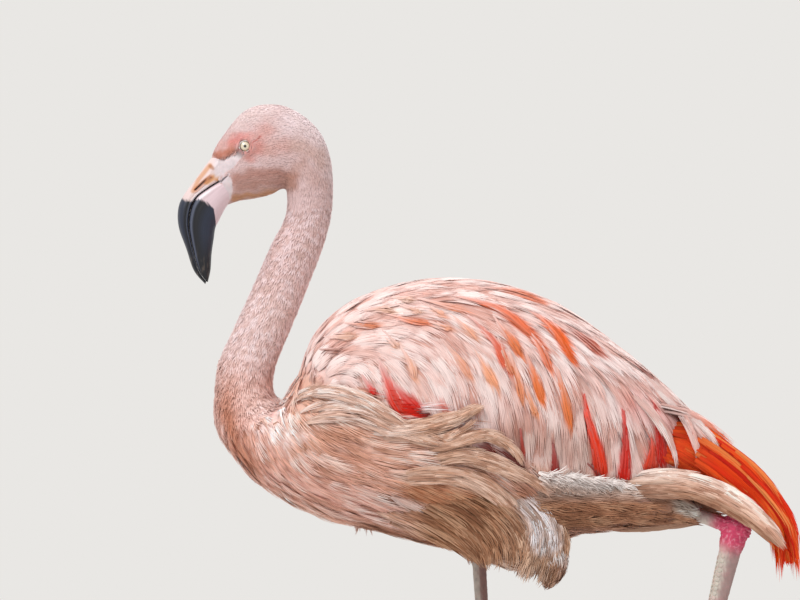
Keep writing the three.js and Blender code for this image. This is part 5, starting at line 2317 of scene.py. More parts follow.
@dataclass
class Plates:
    """Small horny plates, one shape repeated along lines by Geometry Nodes."""

    name: str
    segments: int = 8
    rings: int = 5
    uneven: float = 0.08  # how much one plate's size differs from the next
    places: list = field(default_factory=list)
    turns: list = field(default_factory=list)
    sizes: list = field(default_factory=list)

    def add(self, place: Array, wide: Array, long: Array, size: tuple[float, float, float]) -> None:
        """Set one plate.

        Args:
            place: Its middle.
            wide: The way its width runs.
            long: The way its length runs.
            size: Half its width, length and thickness in millimetres.
        """
        wide = unit(np.asarray(wide, float))
        long = unit(long - wide * float(dot(wide, long)))
        axes = Matrix([list(row) for row in np.stack([wide, long, np.cross(wide, long)], 1)])
        self.places.append(place)
        self.turns.append(tuple(axes.to_euler()))
        self.sizes.append(np.array(size) * MM)

    def tree(self) -> tuple[bpy.types.NodeTree, str]:
        """Build the node tree that sets a flattened ball at each place.

        Returns:
            The tree and the identifier of its input for the material.
        """
        tree = bpy.data.node_groups.new(self.name, "GeometryNodeTree")
        tree.interface.new_socket("Places", in_out="INPUT", socket_type="NodeSocketGeometry")
        finish = tree.interface.new_socket("Material", in_out="INPUT", socket_type="NodeSocketMaterial")
        tree.interface.new_socket("Plates", in_out="OUTPUT", socket_type="NodeSocketGeometry")
        start = add_node(tree, "NodeGroupInput")
        plate = add_node(tree, "GeometryNodeMeshUVSphere",
                         {"Segments": self.segments, "Rings": self.rings, "Radius": 1.0})
        turn = add_node(tree, "GeometryNodeInputNamedAttribute", {"Name": TURN}, data_type="FLOAT_VECTOR")
        size = add_node(tree, "GeometryNodeInputNamedAttribute", {"Name": SIZE}, data_type="FLOAT_VECTOR")
        low, high = [1 - self.uneven] * 3, [1 + self.uneven] * 3
        each = add_node(tree, "FunctionNodeRandomValue", {"Min": low, "Max": high, "Seed": 5},
                        data_type="FLOAT_VECTOR")
        scale = add_node(tree, "ShaderNodeVectorMath", {0: size.outputs[0], 1: each.outputs[0]},
                         operation="MULTIPLY")
        rotation = add_node(tree, "FunctionNodeEulerToRotation", {0: turn.outputs[0]})
        placed = add_node(tree, "GeometryNodeInstanceOnPoints", {
            "Points": start.outputs[0], "Instance": plate.outputs[0],
            "Rotation": rotation.outputs[0], "Scale": scale.outputs[0],
        })
        real = add_node(tree, "GeometryNodeRealizeInstances", {0: placed.outputs[0]})
        painted = add_node(tree, "GeometryNodeSetMaterial",
                           {"Geometry": real.outputs[0], "Material": start.outputs[1]})
        add_node(tree, "NodeGroupOutput", {0: painted.outputs[0]})
        return tree, finish.identifier

    def build(self, tint: Array, material: bpy.types.Material) -> bpy.types.Object:
        """Make the plates.

        Args:
            tint: A linear colour for each plate.
            material: Their material.

        Returns:
            One mesh object of all the plates.
        """
        piece = make_object(self.name, np.array(self.places), [])
        write_attribute(piece.data, TURN, "FLOAT_VECTOR", np.array(self.turns))
        write_attribute(piece.data, SIZE, "FLOAT_VECTOR", np.array(self.sizes))
        write_attribute(piece.data, TINT, "FLOAT_COLOR", tint)
        modifier = piece.modifiers.new("plates", "NODES")
        modifier.node_group, finish = self.tree()
        modifier[finish] = material
        apply_modifiers(piece)
        log.info("%s: %d plates, %d faces", self.name, len(self.places), len(piece.data.polygons))
        return piece


@dataclass
class Scutes:
    """The overlapping plates down the front of the tarsus and along the toes of one leg."""

    leg: Leg
    step: float = 4.4
    start: float = 27.0
    thick: float = 0.75

    def build(self, material: bpy.types.Material) -> bpy.types.Object:
        """Lay the plates of one leg.

        Args:
            material: Their material.

        Returns:
            The plates.
        """
        leg, plates = self.leg, Plates(f"leg_scutes_{self.leg.name}")
        ankle, foot = np.array(leg.ankle) + PLANE.shift, np.array(leg.foot) + PLANE.shift
        down = unit(foot - ankle)
        front = unit(np.cross(down, [0.0, 1.0, 0.0]))
        front = front * -np.sign(front[0])
        length = float(np.linalg.norm(foot - ankle))
        for number, along in enumerate(np.arange(self.start, length - 5, self.step / 2)):
            deep, wide = (float(np.interp(along / length, np.linspace(0, 1, 5), sizes))
                          for sizes in (TARSUS_DEPTHS, TARSUS_WIDTHS))
            for angle in ((0.0,) if number % 2 else (-0.95, 0.95)):
                around = front * math.cos(angle) * deep + np.array([0.0, math.sin(angle) * wide, 0.0])
                out = unit(front * math.cos(angle) / deep + np.array([0.0, math.sin(angle) / wide, 0.0]))
                place = ankle + down * along + around - out * (self.thick * 0.45)
                plates.add(place, np.cross(down, out), down + out * 0.1,
                           (wide * (0.52 if number % 2 else 0.40), self.step * 0.62, self.thick))
        for toe in TOES:
            for along in np.arange(9.0, toe.length - 4, 3.6):
                line = leg.toe_line(toe, np.array([along, along + 1.0]))
                share = np.interp(along / toe.length, np.linspace(0, 1, len(TOE_SHARES)), TOE_SHARES)
                high = leg.toe_height / 2 * share * 1.75
                sunk = high - 0.35
                here, ahead, above = leg.settle(np.stack([
                    line[0] + [0, 0, sunk], line[1] + [0, 0, sunk], line[0] + [0, 0, high + 1.0],
                ]))
                plates.add(here, np.cross(ahead - here, above - here), ahead - here,
                           (leg.toe_width / 2 * share * 0.62, 2.3, self.thick))
        places = np.array(plates.places)
        # The plates take the leg's colour as if they faced forward, so they carry its painted light of the
        # front.
        return plates.build(leg.colour(places, np.tile([-1.0, 0, 0], (len(places), 1)))[0], material)


@dataclass
class Lamellae:
    """The fine comb plates along both edges of the closed bill."""

    step: float = 1.3
    size: tuple[float, float, float] = (0.9, 1.1, 0.22)  # half width, height and thickness

    def build(self, material: bpy.types.Material) -> bpy.types.Object:
        """Stand the plates between the halves of the bill.

        Args:
            material: Their material.

        Returns:
            The plates.
        """
        plates = Plates("bill_lamellae", segments=6, rings=4)
        mouth = np.array(MOUTH, float)
        fine = read_rows(mouth, np.linspace(1.0, 7.4, 400))
        run = np.concatenate([[0], np.cumsum(np.linalg.norm(np.diff(fine, axis=0), axis=1))])
        at = np.interp(np.arange(0, run[-1], self.step), run, np.linspace(1.0, 7.4, 400))
        middle, ahead = read_rows(mouth, at), read_rows(mouth, at + 0.05)
        half = np.interp(at, np.arange(9), LOWER_HALF) * 0.66
        for place, tip, reach in zip(middle, ahead, half):
            long = np.array([tip[0] - place[0], 0.0, tip[1] - place[1]])
            tall = np.cross(long, [0.0, 1.0, 0.0])
            for side in SIDES:
                where = np.array([place[0], side * reach, place[1]]) + PLANE.shift
                plates.add(where, [0.0, 1.0, 0.0], tall, self.size)
        return plates.build(np.tile(linear("4c4248"), (len(plates.places), 1)), material)


# ---------------------------------------------------------------- coat

def stretches(curves: Array, start: Array, end: Array, count: int) -> Array:
    """Cut a stretch out of each curve.

    Args:
        curves: Rows of x, y and z, for each stretch or the same for all.
        start: Where each stretch starts, counted in rows.
        end: Where it ends.
        count: Places on a stretch.

    Returns:
        n, count, 3 places.
    """
    curves = np.broadcast_to(curves, (len(start), *curves.shape[-2:]))
    return np.stack([read_rows(curve, np.linspace(low, high, count))
                     for curve, low, high in zip(curves, start, end)])


def facing(ahead: Array | float, side: int, up: Array | float) -> Array:
    """Join the three parts of the ways that tufts face."""
    return np.stack(np.broadcast_arrays(ahead, side * 1.0, up), -1)


Bounds = tuple[float, float, float, float]


@dataclass
class Coat:
    """The feathers of the whole bird, stretch by stretch."""

    seed: int = 7

    def random(self, number: int) -> np.random.Generator:
        """Give the random numbers of one stretch of the coat."""
        return np.random.default_rng(self.seed + number)

    def uneven(self, t: Array, places: list, sizes: list, rng: np.random.Generator, low: float = 0.82,
               high: float = 1.15) -> Array:
        """Read a size for each root from places along the body, times an uneven share."""
        return np.interp(t, places, sizes) * rng.uniform(low, high, len(t))

    def head(self) -> Strands:
        """Short velvet of the head, thinning out at the bare face.

        Returns:
            Its strands.
        """
        rng = self.random(0)
        bounds: Bounds = (0.05, 7.6, -math.pi, math.pi)

        t, a = scatter(BODY, bounds, 64, self.head_share, rng)
        length = self.uneven(t, [0, 1, 3, 7], [1.8, 2.6, 4.6, 6.5], rng)
        high = self.uneven(t, [0, 1, 3, 7], [0.3, 0.45, 0.75, 1.1], rng, 0.7, 1.1)
        tufts = Tufts(BODY, t, a, length, high, Along(()), bounds)
        growth = Growth(strands=1, rings=2, width=0.6, strand=0.85, low=0.1, stray=10, clump=6, loose=0.6,
                        ramp=("cba398", "dcb8b2", "e9cccb"), ramp_strength=0.25)
        return tufts.grow(growth, rng)

    def head_share(self, t: Array, a: Array) -> Array:
        """Share of the roots that the head keeps, so that the face stays bare.

        Args:
            t: Places along the body, counted in sections.
            a: Angles round it.

        Returns:
            Shares from 0 to 1.
        """
        place = BODY_OUTLINE.outline(t, a, 0 * t)
        side = smooth(0.25, 0.6, np.abs(np.sin(a)))
        tip = place + unit(BODY_OUTLINE.lean(t, a)[0]) * 3.4
        bare = np.maximum(FACE.bare(*seen(place)), FACE.round_eye(*seen(tip)))
        return 1 - np.clip(bare, 0, 1) * side * (t < 4)

    def neck(self, low: float, high: float, seed: int) -> Strands:
        """Soft short feathers down a length of the neck.

        Args:
            low: Where it starts, in sections.
            high: Where it ends.
            seed: Picks the random numbers.

        Returns:
            Its strands.
        """
        rng = self.random(seed)
        bounds: Bounds = (low, high, -math.pi, math.pi)
        t, a = scatter(BODY, bounds, 18, None, rng)
        length = self.uneven(t, [7, 10, 14], [7, 10, 15], rng)
        tip = self.uneven(t, [7, 10, 14], [1.1, 1.6, 2.8], rng, 0.6, 1.15)
        tufts = Tufts(BODY, t, a, length, tip, Along(()), bounds)
        growth = Growth(strands=2, rings=2, width=1.9, strand=1.15, low=0.2, stray=12, clump=7, loose=0.9,
                        ramp=("b98e7e", "d8b0a6", "efd6d3"), ramp_strength=0.4, locks=0.3, frayed=0.16,
                        mottle=0.7)
        return tufts.grow(growth, rng)

    def front(self, side: int) -> Strands:
        """Breast, belly and flank on one side, in longer silky locks.

        Args:
            side: -1 on the bird's left.

        Returns:
            Its strands.
        """
        rng = self.random(20 + side)
        bounds: Bounds = (13.6, 25.8, 0.0, side * math.pi)
        below_wing: Field = lambda t, a: smooth(
            12, 0, above_wing_edge(*seen(BODY_OUTLINE.outline(t, a, 0 * t)))) * np.where(t > 21, 0.75, 1)
        t, a = scatter(BODY, (13.6, 25.8, *sorted((0.0, side * math.pi))), 1.55, below_wing, rng)
        length = self.uneven(t, [13.6, 16, 19, 26], [16, 30, 50, 34], rng)
        place = BODY.point(t, a)
        over = smooth(-16, 4, above_wing_edge(*seen(place))) * smooth(21.5, 20, t)
        tip = self.uneven(t, [13.6, 16, 19, 26], [2.8, 3.4, 4.0, 4.0], rng, 0.6, 1.1) + 3.0 * over
        tufts = Tufts(BODY, t, a, length, tip, FLANK_LIE, bounds)
        growth = Growth(strands=6, rings=4, width=6.5, strand=1.0, low=0.4, crown=0.6, ragged=0.35, stray=5,
                        splay=0.5, ramp=("9a6244", "ca9478", "ecbca8", "fadcd2", "fff4f2"),
                        ramp_strength=0.75, clump=10, loose=0.35, locks=1.2, rough=0.08, frayed=0.2,
                        mottle=0.7)
        return tufts.grow(growth, rng)

    def wing(self, side: int, fore: bool) -> Strands:
        """Narrow hair-edged coverts of one folded wing and its half of the back.

        Args:
            side: -1 on the bird's left.
            fore: Whether this is the front half of the wing.

        Returns:
            Their strands.
        """
        rng = self.random(40 + side + (10 if fore else 0))
        t0, t1 = (15.2, 20.6) if fore else (20.6, 25.9)
        bounds: Bounds = (t0, t1, 0.0, side * math.pi)

        def keep(t: Array, a: Array) -> Array:
            """Share of the roots that the wing keeps: those above its lower edge.

            Args:
                t: Places along the body, counted in sections.
                a: Angles round it.

            Returns:
                Shares from 0 to 1.
            """
            x, z = seen(BODY_OUTLINE.outline(t, a, 0 * t))
            early = smooth(-50, -85, x)
            thin = np.where(t < 17.2, 1.0, 0.65) if fore else 1.0
            return thin * smooth(4 - 9 * early, 12 - 9 * early, above_wing_edge(x, z))

        t, a = scatter(BODY, (t0, t1, *sorted((0.0, side * 2.6))), 2.3 if fore else 1.02, keep, rng)
        place = BODY.point(t, a)
        above = above_wing_edge(*seen(place))
        length = self.uneven(t, [15, 16.5, 18, 21, 26], [18, 24, 40, 58, 64], rng)
        length = np.minimum(length, np.maximum(above, 0) * 1.05 + 9 + rng.uniform(-3, 4, len(t)))
        tip = self.uneven(t, [15, 17, 19, 21, 26], [1.2, 1.7, 3.2, 4.2, 4.2], rng, 0.75, 1.12)
        tufts = Tufts(BODY, t, a, length, tip, WING_LIE, bounds)
        growth = Growth(strands=8, rings=5, width=9.5, strand=1.5, low=0.5, crown=0.8, ragged=0.32, stray=3,
                        splay=0.22, ramp=("c8806a", "e4b0a2", "f0c8be", "fae0da", "ffeee9"),
                        ramp_strength=0.6, clump=11, loose=0.8, locks=0.4, rough=0.04, frayed=0.07,
                        mottle=0.4)
        return tufts.grow(growth, rng)

    def streaks(self, side: int) -> Strands:
        """Single coloured feathers that lie between the pale ones, pointed as they show.

        Args:
            side: -1 on the bird's left.

        Returns:
            Their strands.
        """
        rng = self.random(50 + side)
        paths, colours, kinds = [], [], []
        for lens in (*WING_STREAKS, *RED_GAPS):
            line = np.array(lens.line, float)
            strong = isinstance(lens, Wedge) or lens.strength > 0.9
            count = max(3, int(round(lens.width * (2.4 if strong else 1.7))))
            place = np.linspace(0, 1, 41)
            wide = lens.widths(place) / lens.width
            for u in np.linspace(-0.92, 0.92, count):
                inside = place[wide >= abs(u) * 0.97]
                if len(inside) < 4:
                    continue
                share = np.linspace(inside[0], inside[-1], 6)
                at = share * (len(line) - 1)
                rows = read_rows(line, at)
                along = unit(np.gradient(rows, axis=0))
                away = np.stack([along[:, 1], -along[:, 0]], -1)
                reach = np.interp(share, place, lens.widths(place))
                narrow = 0.95 if isinstance(lens, Wedge) else 0.72
                rows = rows + away * (u * reach * narrow + rng.normal(0, 0.5))[:, None]
                high = np.interp(share, [0, 0.5, 1], [1.2, 1.0, 0.0]) * 0.8 - 1.3
                if not isinstance(lens, Wedge):
                    rows = np.vstack([rows[0] - along[0] * rng.uniform(8, 16), rows])
                    high = np.concatenate([[-2.4], high])
                paths.append(tuple(map(tuple, np.column_stack([rows, high + rng.uniform(-0.4, 0.4)]))))
                pale = rng.uniform(0, 0.12 if strong else 0.4) + 0.4 * (1 - lens.strength)
                kinds.append(lens)
                colours.append(lay_over(linear(lens.colour) * rng.uniform(0.8, 1.1), CREAM, np.array(pale)))
        shades = np.array(colours)[:, None, None, :]
        growth = Growth(strands=1, rings=6, width=0, strand=1.5, low=0, stray=0, splay=0, frayed=0,
                        root_tone=1.0, rough=0.1)
        whole = np.array([isinstance(lens, Wedge) for lens in kinds])[:, None, None]
        fade = np.array([0.9, 0.55, 0.2, 0.05, 0, 0, 0.0])  # how cream its rings are, roots first
        paint: Paint = lambda line, t, _: lay_over(
            np.broadcast_to(shades, line.shape).copy(), CREAM,
            np.broadcast_to(fade, line.shape[:3]) * (1 - 0.8 * whole),
        )
        return draw_on_body(paths, side).grow(growth, rng, paint)

    def tube(self, surface: Tube, per_cm2: float, length: tuple[float, float], high: tuple[float, float],
             growth: Growth, seed: int, paint: Paint | None = None, reach: float = 1.0) -> Strands:
        """Feathers that lie along a tube.

        Args:
            surface: The tube under them.
            per_cm2: Tufts on a square centimetre.
            length: Length at the tube's first and last row.
            high: Height of the tips at the first and last row.
            growth: What the coat is like.
            seed: Picks the random numbers.
            paint: Their colours.
            reach: Share of the tube that has roots.

        Returns:
            Their strands.
        """
        rng = self.random(seed)
        last = len(surface.rows) - 1.001
        bounds: Bounds = (0.0, last * reach, -math.pi, math.pi)
        t, a = scatter(surface, bounds, per_cm2, None, rng)
        share = t / last
        size = (length[0] * (1 - share) + length[1] * share) * rng.uniform(0.75, 1.15, len(t))
        tip = (high[0] * (1 - share) + high[1] * share) * rng.uniform(0.6, 1.1, len(t))
        return Tufts(surface, t, a, size, tip, Along(()), bounds).grow(growth, rng, paint)

    def lock(self, side: int) -> Strands:
        """The whitish lock of the flank that hangs beside the standing leg.

        Args:
            side: -1 on the bird's left.

        Returns:
            Its strands.
        """
        rows = mirrored(FLANK, side)
        surface = Tube(rows, lambda t, a: 4.0 - 3.0 * np.clip(t, 0, 4) / 4)
        growth = Growth(strands=4, rings=4, width=5.5, strand=1.5, low=0.3, crown=0.9, ragged=0.35, stray=8,
                        splay=0.8, ramp=("7c5440", "b89080", "dcc4bc", "f6ece8"), ramp_strength=0.8, clump=8,
                        locks=0.8, rough=0.1, frayed=0.2)
        paint: Paint = lambda line, t, _: lay_all(
            filled(line.shape, "c29a86"),
            ("dcccc8", 0.7 * smooth(1.2, 2.2, t) * smooth(3.2, 2.6, t)),
            ("a87c62", 0.6 * smooth(2.8, 3.6, t)),
        )
        return self.tube(surface, 2.7, (34, 26), (3.0, 1.6), growth, 60 + side, paint)

    def hanging_lock(self, side: int) -> Strands:
        """Long soft strands that fall over the flank's lock and end in ragged points.

        Args:
            side: -1 on the bird's left.

        Returns:
            Their strands.
        """
        rng = self.random(110 + side)
        inner = np.array([[-20, -76, 516], [12, -80, 500], [34, -78, 480], [41, -72, 462],
                          [40, -64, 449]], float)
        outer = np.array([[48, -66, 540], [80, -66, 524], [102, -63, 500], [113, -57, 470],
                          [102, -50, 442]], float)
        count = 330
        share = rng.uniform(0, 1, count) ** 0.6
        curves = inner + (outer - inner) * share[:, None, None]
        bulge = np.sin(math.pi * share) * 5 + rng.uniform(-3.0, 1.5, count)
        curves[:, :, 1] -= bulge[:, None] * np.array([0.2, 0.8, 1.0, 0.8, 0.3])
        belly = np.array([[-70, -56, 503], [-36, -66, 490], [-4, -71, 475], [22, -67, 462],
                          [38, -60, 450]], float)
        under = rng.uniform(0, 1, (110, 1, 1))
        near = np.array([[70, -72, 508], [75, -75, 490], [75, -74, 471], [70, -69, 453],
                         [66, -62, 437]], float)
        far = np.array([[100, -66, 505], [107, -63, 486], [106, -60, 468], [100, -56, 450],
                        [93, -52, 434.5]], float)
        last = 150  # tufts of the fan at the end
        fan = near + (far - near) * rng.uniform(0, 1, (last, 1, 1))
        curves = np.concatenate([curves, belly + (inner - belly) * under, fan])
        count = len(curves)
        start = rng.uniform(0, 2.4, count)
        end = np.minimum(start + rng.uniform(1.0, 1.9, count), 4.0)
        end = np.where(rng.uniform(0, 1, count) < 0.35, 4.0, end)
        start[-last:] = rng.uniform(0, 2.8, last)
        end[-last:] = np.minimum(start[-last:] + rng.uniform(1.2, 2.0, last), 4.0)
        cut = stretches(curves, start, end, 5)
        cut = cut + rng.normal(0, 1.2, (count, 1, 3)) * np.array([1, 0.4, 1])
        cut[:, 0, 1] += 7.0
        cut[:, 1, 1] += 1.2
        cut[:, -1, 0] += rng.normal(-1.5, 2.0, count)
        cut[:, :, 1] *= -side
        growth = Growth(strands=4, rings=4, width=3.4, strand=0.95, low=0, crown=0.5, ragged=0.3, stray=0,
                        splay=0.9, ramp=("8e6850", "c8a692", "e6d4cc", "fcf0ec"), ramp_strength=0.8, clump=7,
                        loose=0.6, frayed=0.3, rough=0.1, mottle=0.6)
        paint: Paint = lambda line, t, _: self.hanging_colour(*seen(line))
        out = facing(0.1, side, rng.normal(0.15, 0.1, count))
        return hang(cut, out).grow(growth, rng, paint)

    def hanging_colour(self, x: Array, z: Array) -> Array:
        """Colour the hanging strands: brown, with a pale lock in their middle.

        Args:
            x: Places along the bird.
            z: Heights.

        Returns:
            Linear colours.
        """
        pale = gap_to(x, z, (48, 533), (64, 516), (76, 497), (78, 478))
        return lay_all(
            filled((*x.shape, 3), "c4987c"),
            ("a87452", 0.7 * smooth(52, 30, x)),
            ("d8ac98", 0.75 * smooth(-26, -58, x)),
            ("e8d8d6", 0.95 * smooth(20, 9, pale) * smooth(456, 470, z)),
            ("c4a08a", 0.7 * smooth(460, 446, z)),
        )

    def thigh(self, side: int) -> Strands:
        """Soft fluff of one thigh, down to the bare shank.

        Args:
            side: -1 on the bird's left.

        Returns:
            Its strands.
        """
        rows = THIGH_LEFT if side < 0 else THIGH_RIGHT
        last = len(rows) - 1
        surface = Tube(rows, lambda t, a: 4.2 - 3.6 * np.clip(t, 0, last) / last)
        growth = Growth(strands=4, rings=3, width=4.6, strand=1.0, low=0.3, crown=0.6, ragged=0.35, stray=7,
                        splay=0.6, ramp=("8c6450", "b8907c", "d8b8aa", "f2e0d8"), ramp_strength=0.6, clump=9,
                        locks=0.4, rough=0.08, frayed=0.2, mottle=0.6)
        paint: Paint = lambda line, t, _: self.thigh_colour(*seen(line), side < 0)
        if side > 0:
            return self.tube(surface, 7.0, (18, 5), (2.6, 0.8), growth, 64, paint, 0.8)
        return self.tube(surface, 2.9, (34, 16), (3.2, 1.4), growth, 63, paint)

    def thigh_colour(self, x: Array, z: Array, lifted: bool) -> Array:
        """Colour the down of a thigh: pale on top, tan and browner below as painted shade of the underside,
        and grey along a lifted shank.

        Args:
            x: Places along the bird.
            z: Heights.
            lifted: Whether this is the lifted leg.

        Returns:
            Linear colours.
        """
        shank = gap_to(x, z, (196, 510), (240, 497))
        # The tan and the brown low at the front are painted shade of the underside.
        return lay_all(
            filled((*x.shape, 3), "b07c5e"),
            ("f2e2da", 0.8 * smooth(510, 528, z)),
            ("9c6e52", 0.7 * smooth(508, 494, z) * smooth(150, 110, x)),
            ("d6d0c8", 0.85 * smooth(8, 4, shank) * smooth(188, 204, x) * lifted),
            ("c49484", 0.7 * smooth(492, 484, z)),
        )

    def rim(self, side: int) -> Strands:
        """White down that stands out under the folded wing's lower edge.

        Args:
            side: -1 on the bird's left.

        Returns:
            Its strands.
        """
        rng = self.random(70 + side)
        paths = []
        for _ in range(330):
            x = rng.uniform(70, 215)
            low = rng.uniform(0, 1)
            z = -float(above_wing_edge(x, 0.0)) + 1 - 13 * low - 4 * max(0.0, 1 - (x - 70) / 25)
            tuft = 0.9 * math.exp(-(((x - 148) / 9) ** 2)) * (rng.uniform(0, 1) < 0.7)
            slope = math.radians(6 + 26 * low + rng.normal(0, 12)) + tuft
            reach = rng.uniform(12, 22) * (1 + 0.9 * tuft)
            path = [(x + reach * share * math.cos(slope * (0.4 + share)),
                     z - reach * share * math.sin(slope * (0.4 + share)),
                     1.0 + 6.0 * math.sin(math.pi * min(share + 0.15, 1.0)) * (1 - 0.5 * low))
                    for share in (0, 0.3, 0.6, 1.0)]
            paths.append(tuple(path))
        growth = Growth(strands=4, rings=4, width=4.0, strand=0.9, low=0, ragged=0.4, stray=0, splay=1.0,
                        root_tone=1.0, edge_tone=1.0, frayed=0.3)
        # White, turning warm tan further below the wing's edge: painted shade under the wing.
        paint: Paint = lambda line, t, _: lay_over(
            filled(line.shape, "fff3ee"), "e0b8a2", smooth(5, 19, -above_wing_edge(*seen(line))),
        )
        return draw_on_body(paths, side, 0.9).grow(growth, rng, paint)

    def undertail(self) -> Strands:
        """Pale feathers over and under the short tail.

        Returns:
            Their strands.
        """
        growth = Growth(strands=5, rings=5, width=8.0, strand=2.0, low=0.3, crown=0.8, ragged=0.25, stray=5,
                        splay=0.4, ramp=("c08a76", "e2beb2", "f8e6e0"), ramp_strength=0.6, clump=9)
        surface = Tube(TAIL, lambda t, a: 4.0 - 3.0 * np.clip(t, 0, 4) / 4)
        paint: Paint = lambda line, t, _: filled(line.shape, "eecdc2")
        tail = self.tube(surface, 1.5, (52, 24), (3.5, 1.5), growth, 75, paint, 0.85)
        rng = self.random(76)
        parts = [tail]
        for side in SIDES:
            spine = np.array([[150, 34, 501], [182, 34, 500], [212, 33, 503], [238, 31, 504],
                              [266, 29, 497]], float)
            spine[:, 2] += (side > 0) * np.array([34, 22, 8, 0, 0])
            count = 90
            start = rng.uniform(0, 2.6, count)
            cut = stretches(spine, start, start + 1.4, 5)
            cut[:, :, 2] += rng.uniform(-12, 12, (count, 1)) * np.array([1, 1, 0.9, 0.8, 0.7])
            cut[:, :, 1] += rng.uniform(-4, 4, (count, 1))
            cut[:, :, 1] *= side
            # Brown strips under the tail: painted shade of the underside.
            brown: Paint = lambda line, t, _: filled(line.shape, "b88c74")
            parts.append(hang(cut, facing(np.zeros(count), side, -0.3)).grow(growth, rng, brown))
        return Strands.joined(parts)

    def band(self, side: int) -> Strands:
        """Long pale feathers beside the rump that pass outside the lifted ankle.

        Args:
            side: -1 on the bird's left.

        Returns:
            Their strands.
        """
        rng = self.random(80 + side)
        spine = np.array([[166, -60, 529], [196, -66, 531], [226, -67, 528], [250, -64, 520], [276, -60, 505],
                          [299, -55, 486], [315, -49, 467.5]], float)
        count = 260
        across = rng.uniform(-1, 1, count)
        start = rng.uniform(0, 4.6, count)
        end = np.minimum(start + rng.uniform(1.2, 2.0, count), 6.0)
        cut = stretches(spine, start, end, 5)
        at = np.linspace(start, end, 5, axis=1)
        half = np.interp(at, [0, 1, 2, 3, 4, 5, 6], [9, 12, 11, 10, 8.5, 6, 0.8])
        cut[:, :, 2] += across[:, None] * half
        cut[:, :, 0] += across[:, None] * half * 0.45
        cut[:, :, 1] -= (1 - across[:, None] ** 2) * 3.5 + rng.uniform(0, 1.5, (count, 1))
        cut[:, 0, 1] += 3.0
        cut[:, 1:, 2] += rng.normal(0, 0.8, (count, 1)) * np.linspace(0.2, 1, 4)
        cut[:, :, 1] *= -side
        growth = Growth(strands=4, rings=5, width=4.0, strand=1.1, low=0, crown=0.6, ragged=0.25, stray=0,
                        splay=0.4, ramp=("a87862", "d8b0a0", "f2d8ce", "fff2ee"), ramp_strength=0.7, clump=7,
                        loose=0.6, frayed=0.2, mottle=0.5)
        paint: Paint = lambda line, t, _: self.band_colour(*seen(line))
        out = facing(0.1, side, 0.5 * across + 0.2)
        return hang(cut, out).grow(growth, rng, paint)

    def band_colour(self, x: Array, z: Array) -> Array:
        """Colour the long pale feathers beside the rump: brown below their middle as painted shade, whitish
        above.

        Args:
            x: Places along the bird.
            z: Heights.

        Returns:
            Linear colours.
        """
        middle = np.interp(x, [166, 190, 212, 236, 262, 285, 301], [529, 531, 528, 520, 505, 486, 467])
        early = smooth(205, 180, x)
        # The brown below the middle is painted shade on these pale feathers.
        return lay_all(
            filled((*x.shape, 3), "e6b69e"),
            ("bc8a6c", (0.75 - 0.3 * early) * smooth(-2, -8, z - middle)),
            ("c8a692", 0.5 * early),
            ("fce2d6", 0.75 * smooth(1, 8, z - middle)),
        )

    def plumes(self, side: int) -> Strands:
        """Short orange-red feathers that fill the wing's end under its long ones.

        Args:
            side: -1 on the bird's left.

        Returns:
            Their strands.
        """
        rng = self.random(90 + side)
        rows = mirrored(PLUMES, side)
        rows[:, 3] *= [0.86, 0.86, 0.8, 0.6, 0.3, 0.3]
        rows[:, 4] *= [0.8, 0.8, 0.7, 0.6, 0.5, 0.5]
        surface = Tube(rows, lambda t, a: 2.0 - 1.2 * np.clip(t, 0, 5) / 5)
        growth = Growth(strands=6, rings=5, width=8.0, strand=1.7, low=0.4, crown=0.9, ragged=0.16, stray=3,
                        splay=0.35, frayed=0.1)
        t, a = scatter(surface, (0.0, 3.4, -math.pi, math.pi), 1.05, None, rng)
        size = self.uneven(t, [0, 2, 3, 5], [78, 56, 26, 20], rng, 0.85, 1.15)
        tip = self.uneven(t, [0, 5], [2.4, 1.0], rng, 0.6, 1.1)
        tufts = Tufts(surface, t, a, size, tip, Along(()), (0.0, 4.999, -math.pi, math.pi))
        cut, out = self.apron(side, rng, 0.3, 2.8, 0.4)
        thin = replace(growth, width=4.0, strand=1.2)
        bridge = hang(cut - PLANE.shift, out).grow(thin, rng, self.plume_colour)
        return Strands.joined([tufts.grow(growth, rng, self.plume_colour), bridge])

    def plume_colour(self, line: Array, _t: Array, rng: np.random.Generator) -> Array:
        """Colour of the orange-red feathers: every tuft keeps one of a few shades.

        Args:
            line: Places of the strands' rings, tuft by tuft.
            _t: Where they lie along their surface; the colour doesn't depend on it.
            rng: Seeded numbers.

        Returns:
            Linear colours.
        """
        stops = np.array([linear(code) for code in ("d81c02", "f63604", "ff4c0c", "ff6c20", "ff9450")])
        at = np.clip(rng.normal(2.0, 1.1, len(line)), 0, 3.999)
        i = at.astype(int)
        f = (at - i)[:, None]
        shade = stops[i] * (1 - f) + stops[i + 1] * f
        colour = np.broadcast_to(shade[:, None, None, :], line.shape).copy()
        # Lighter orange towards the front, where the wing's end shades the plumes: painted light.
        return lay_over(colour, "ff5c2c", 0.5 * smooth(238, 216, line[..., 0]))

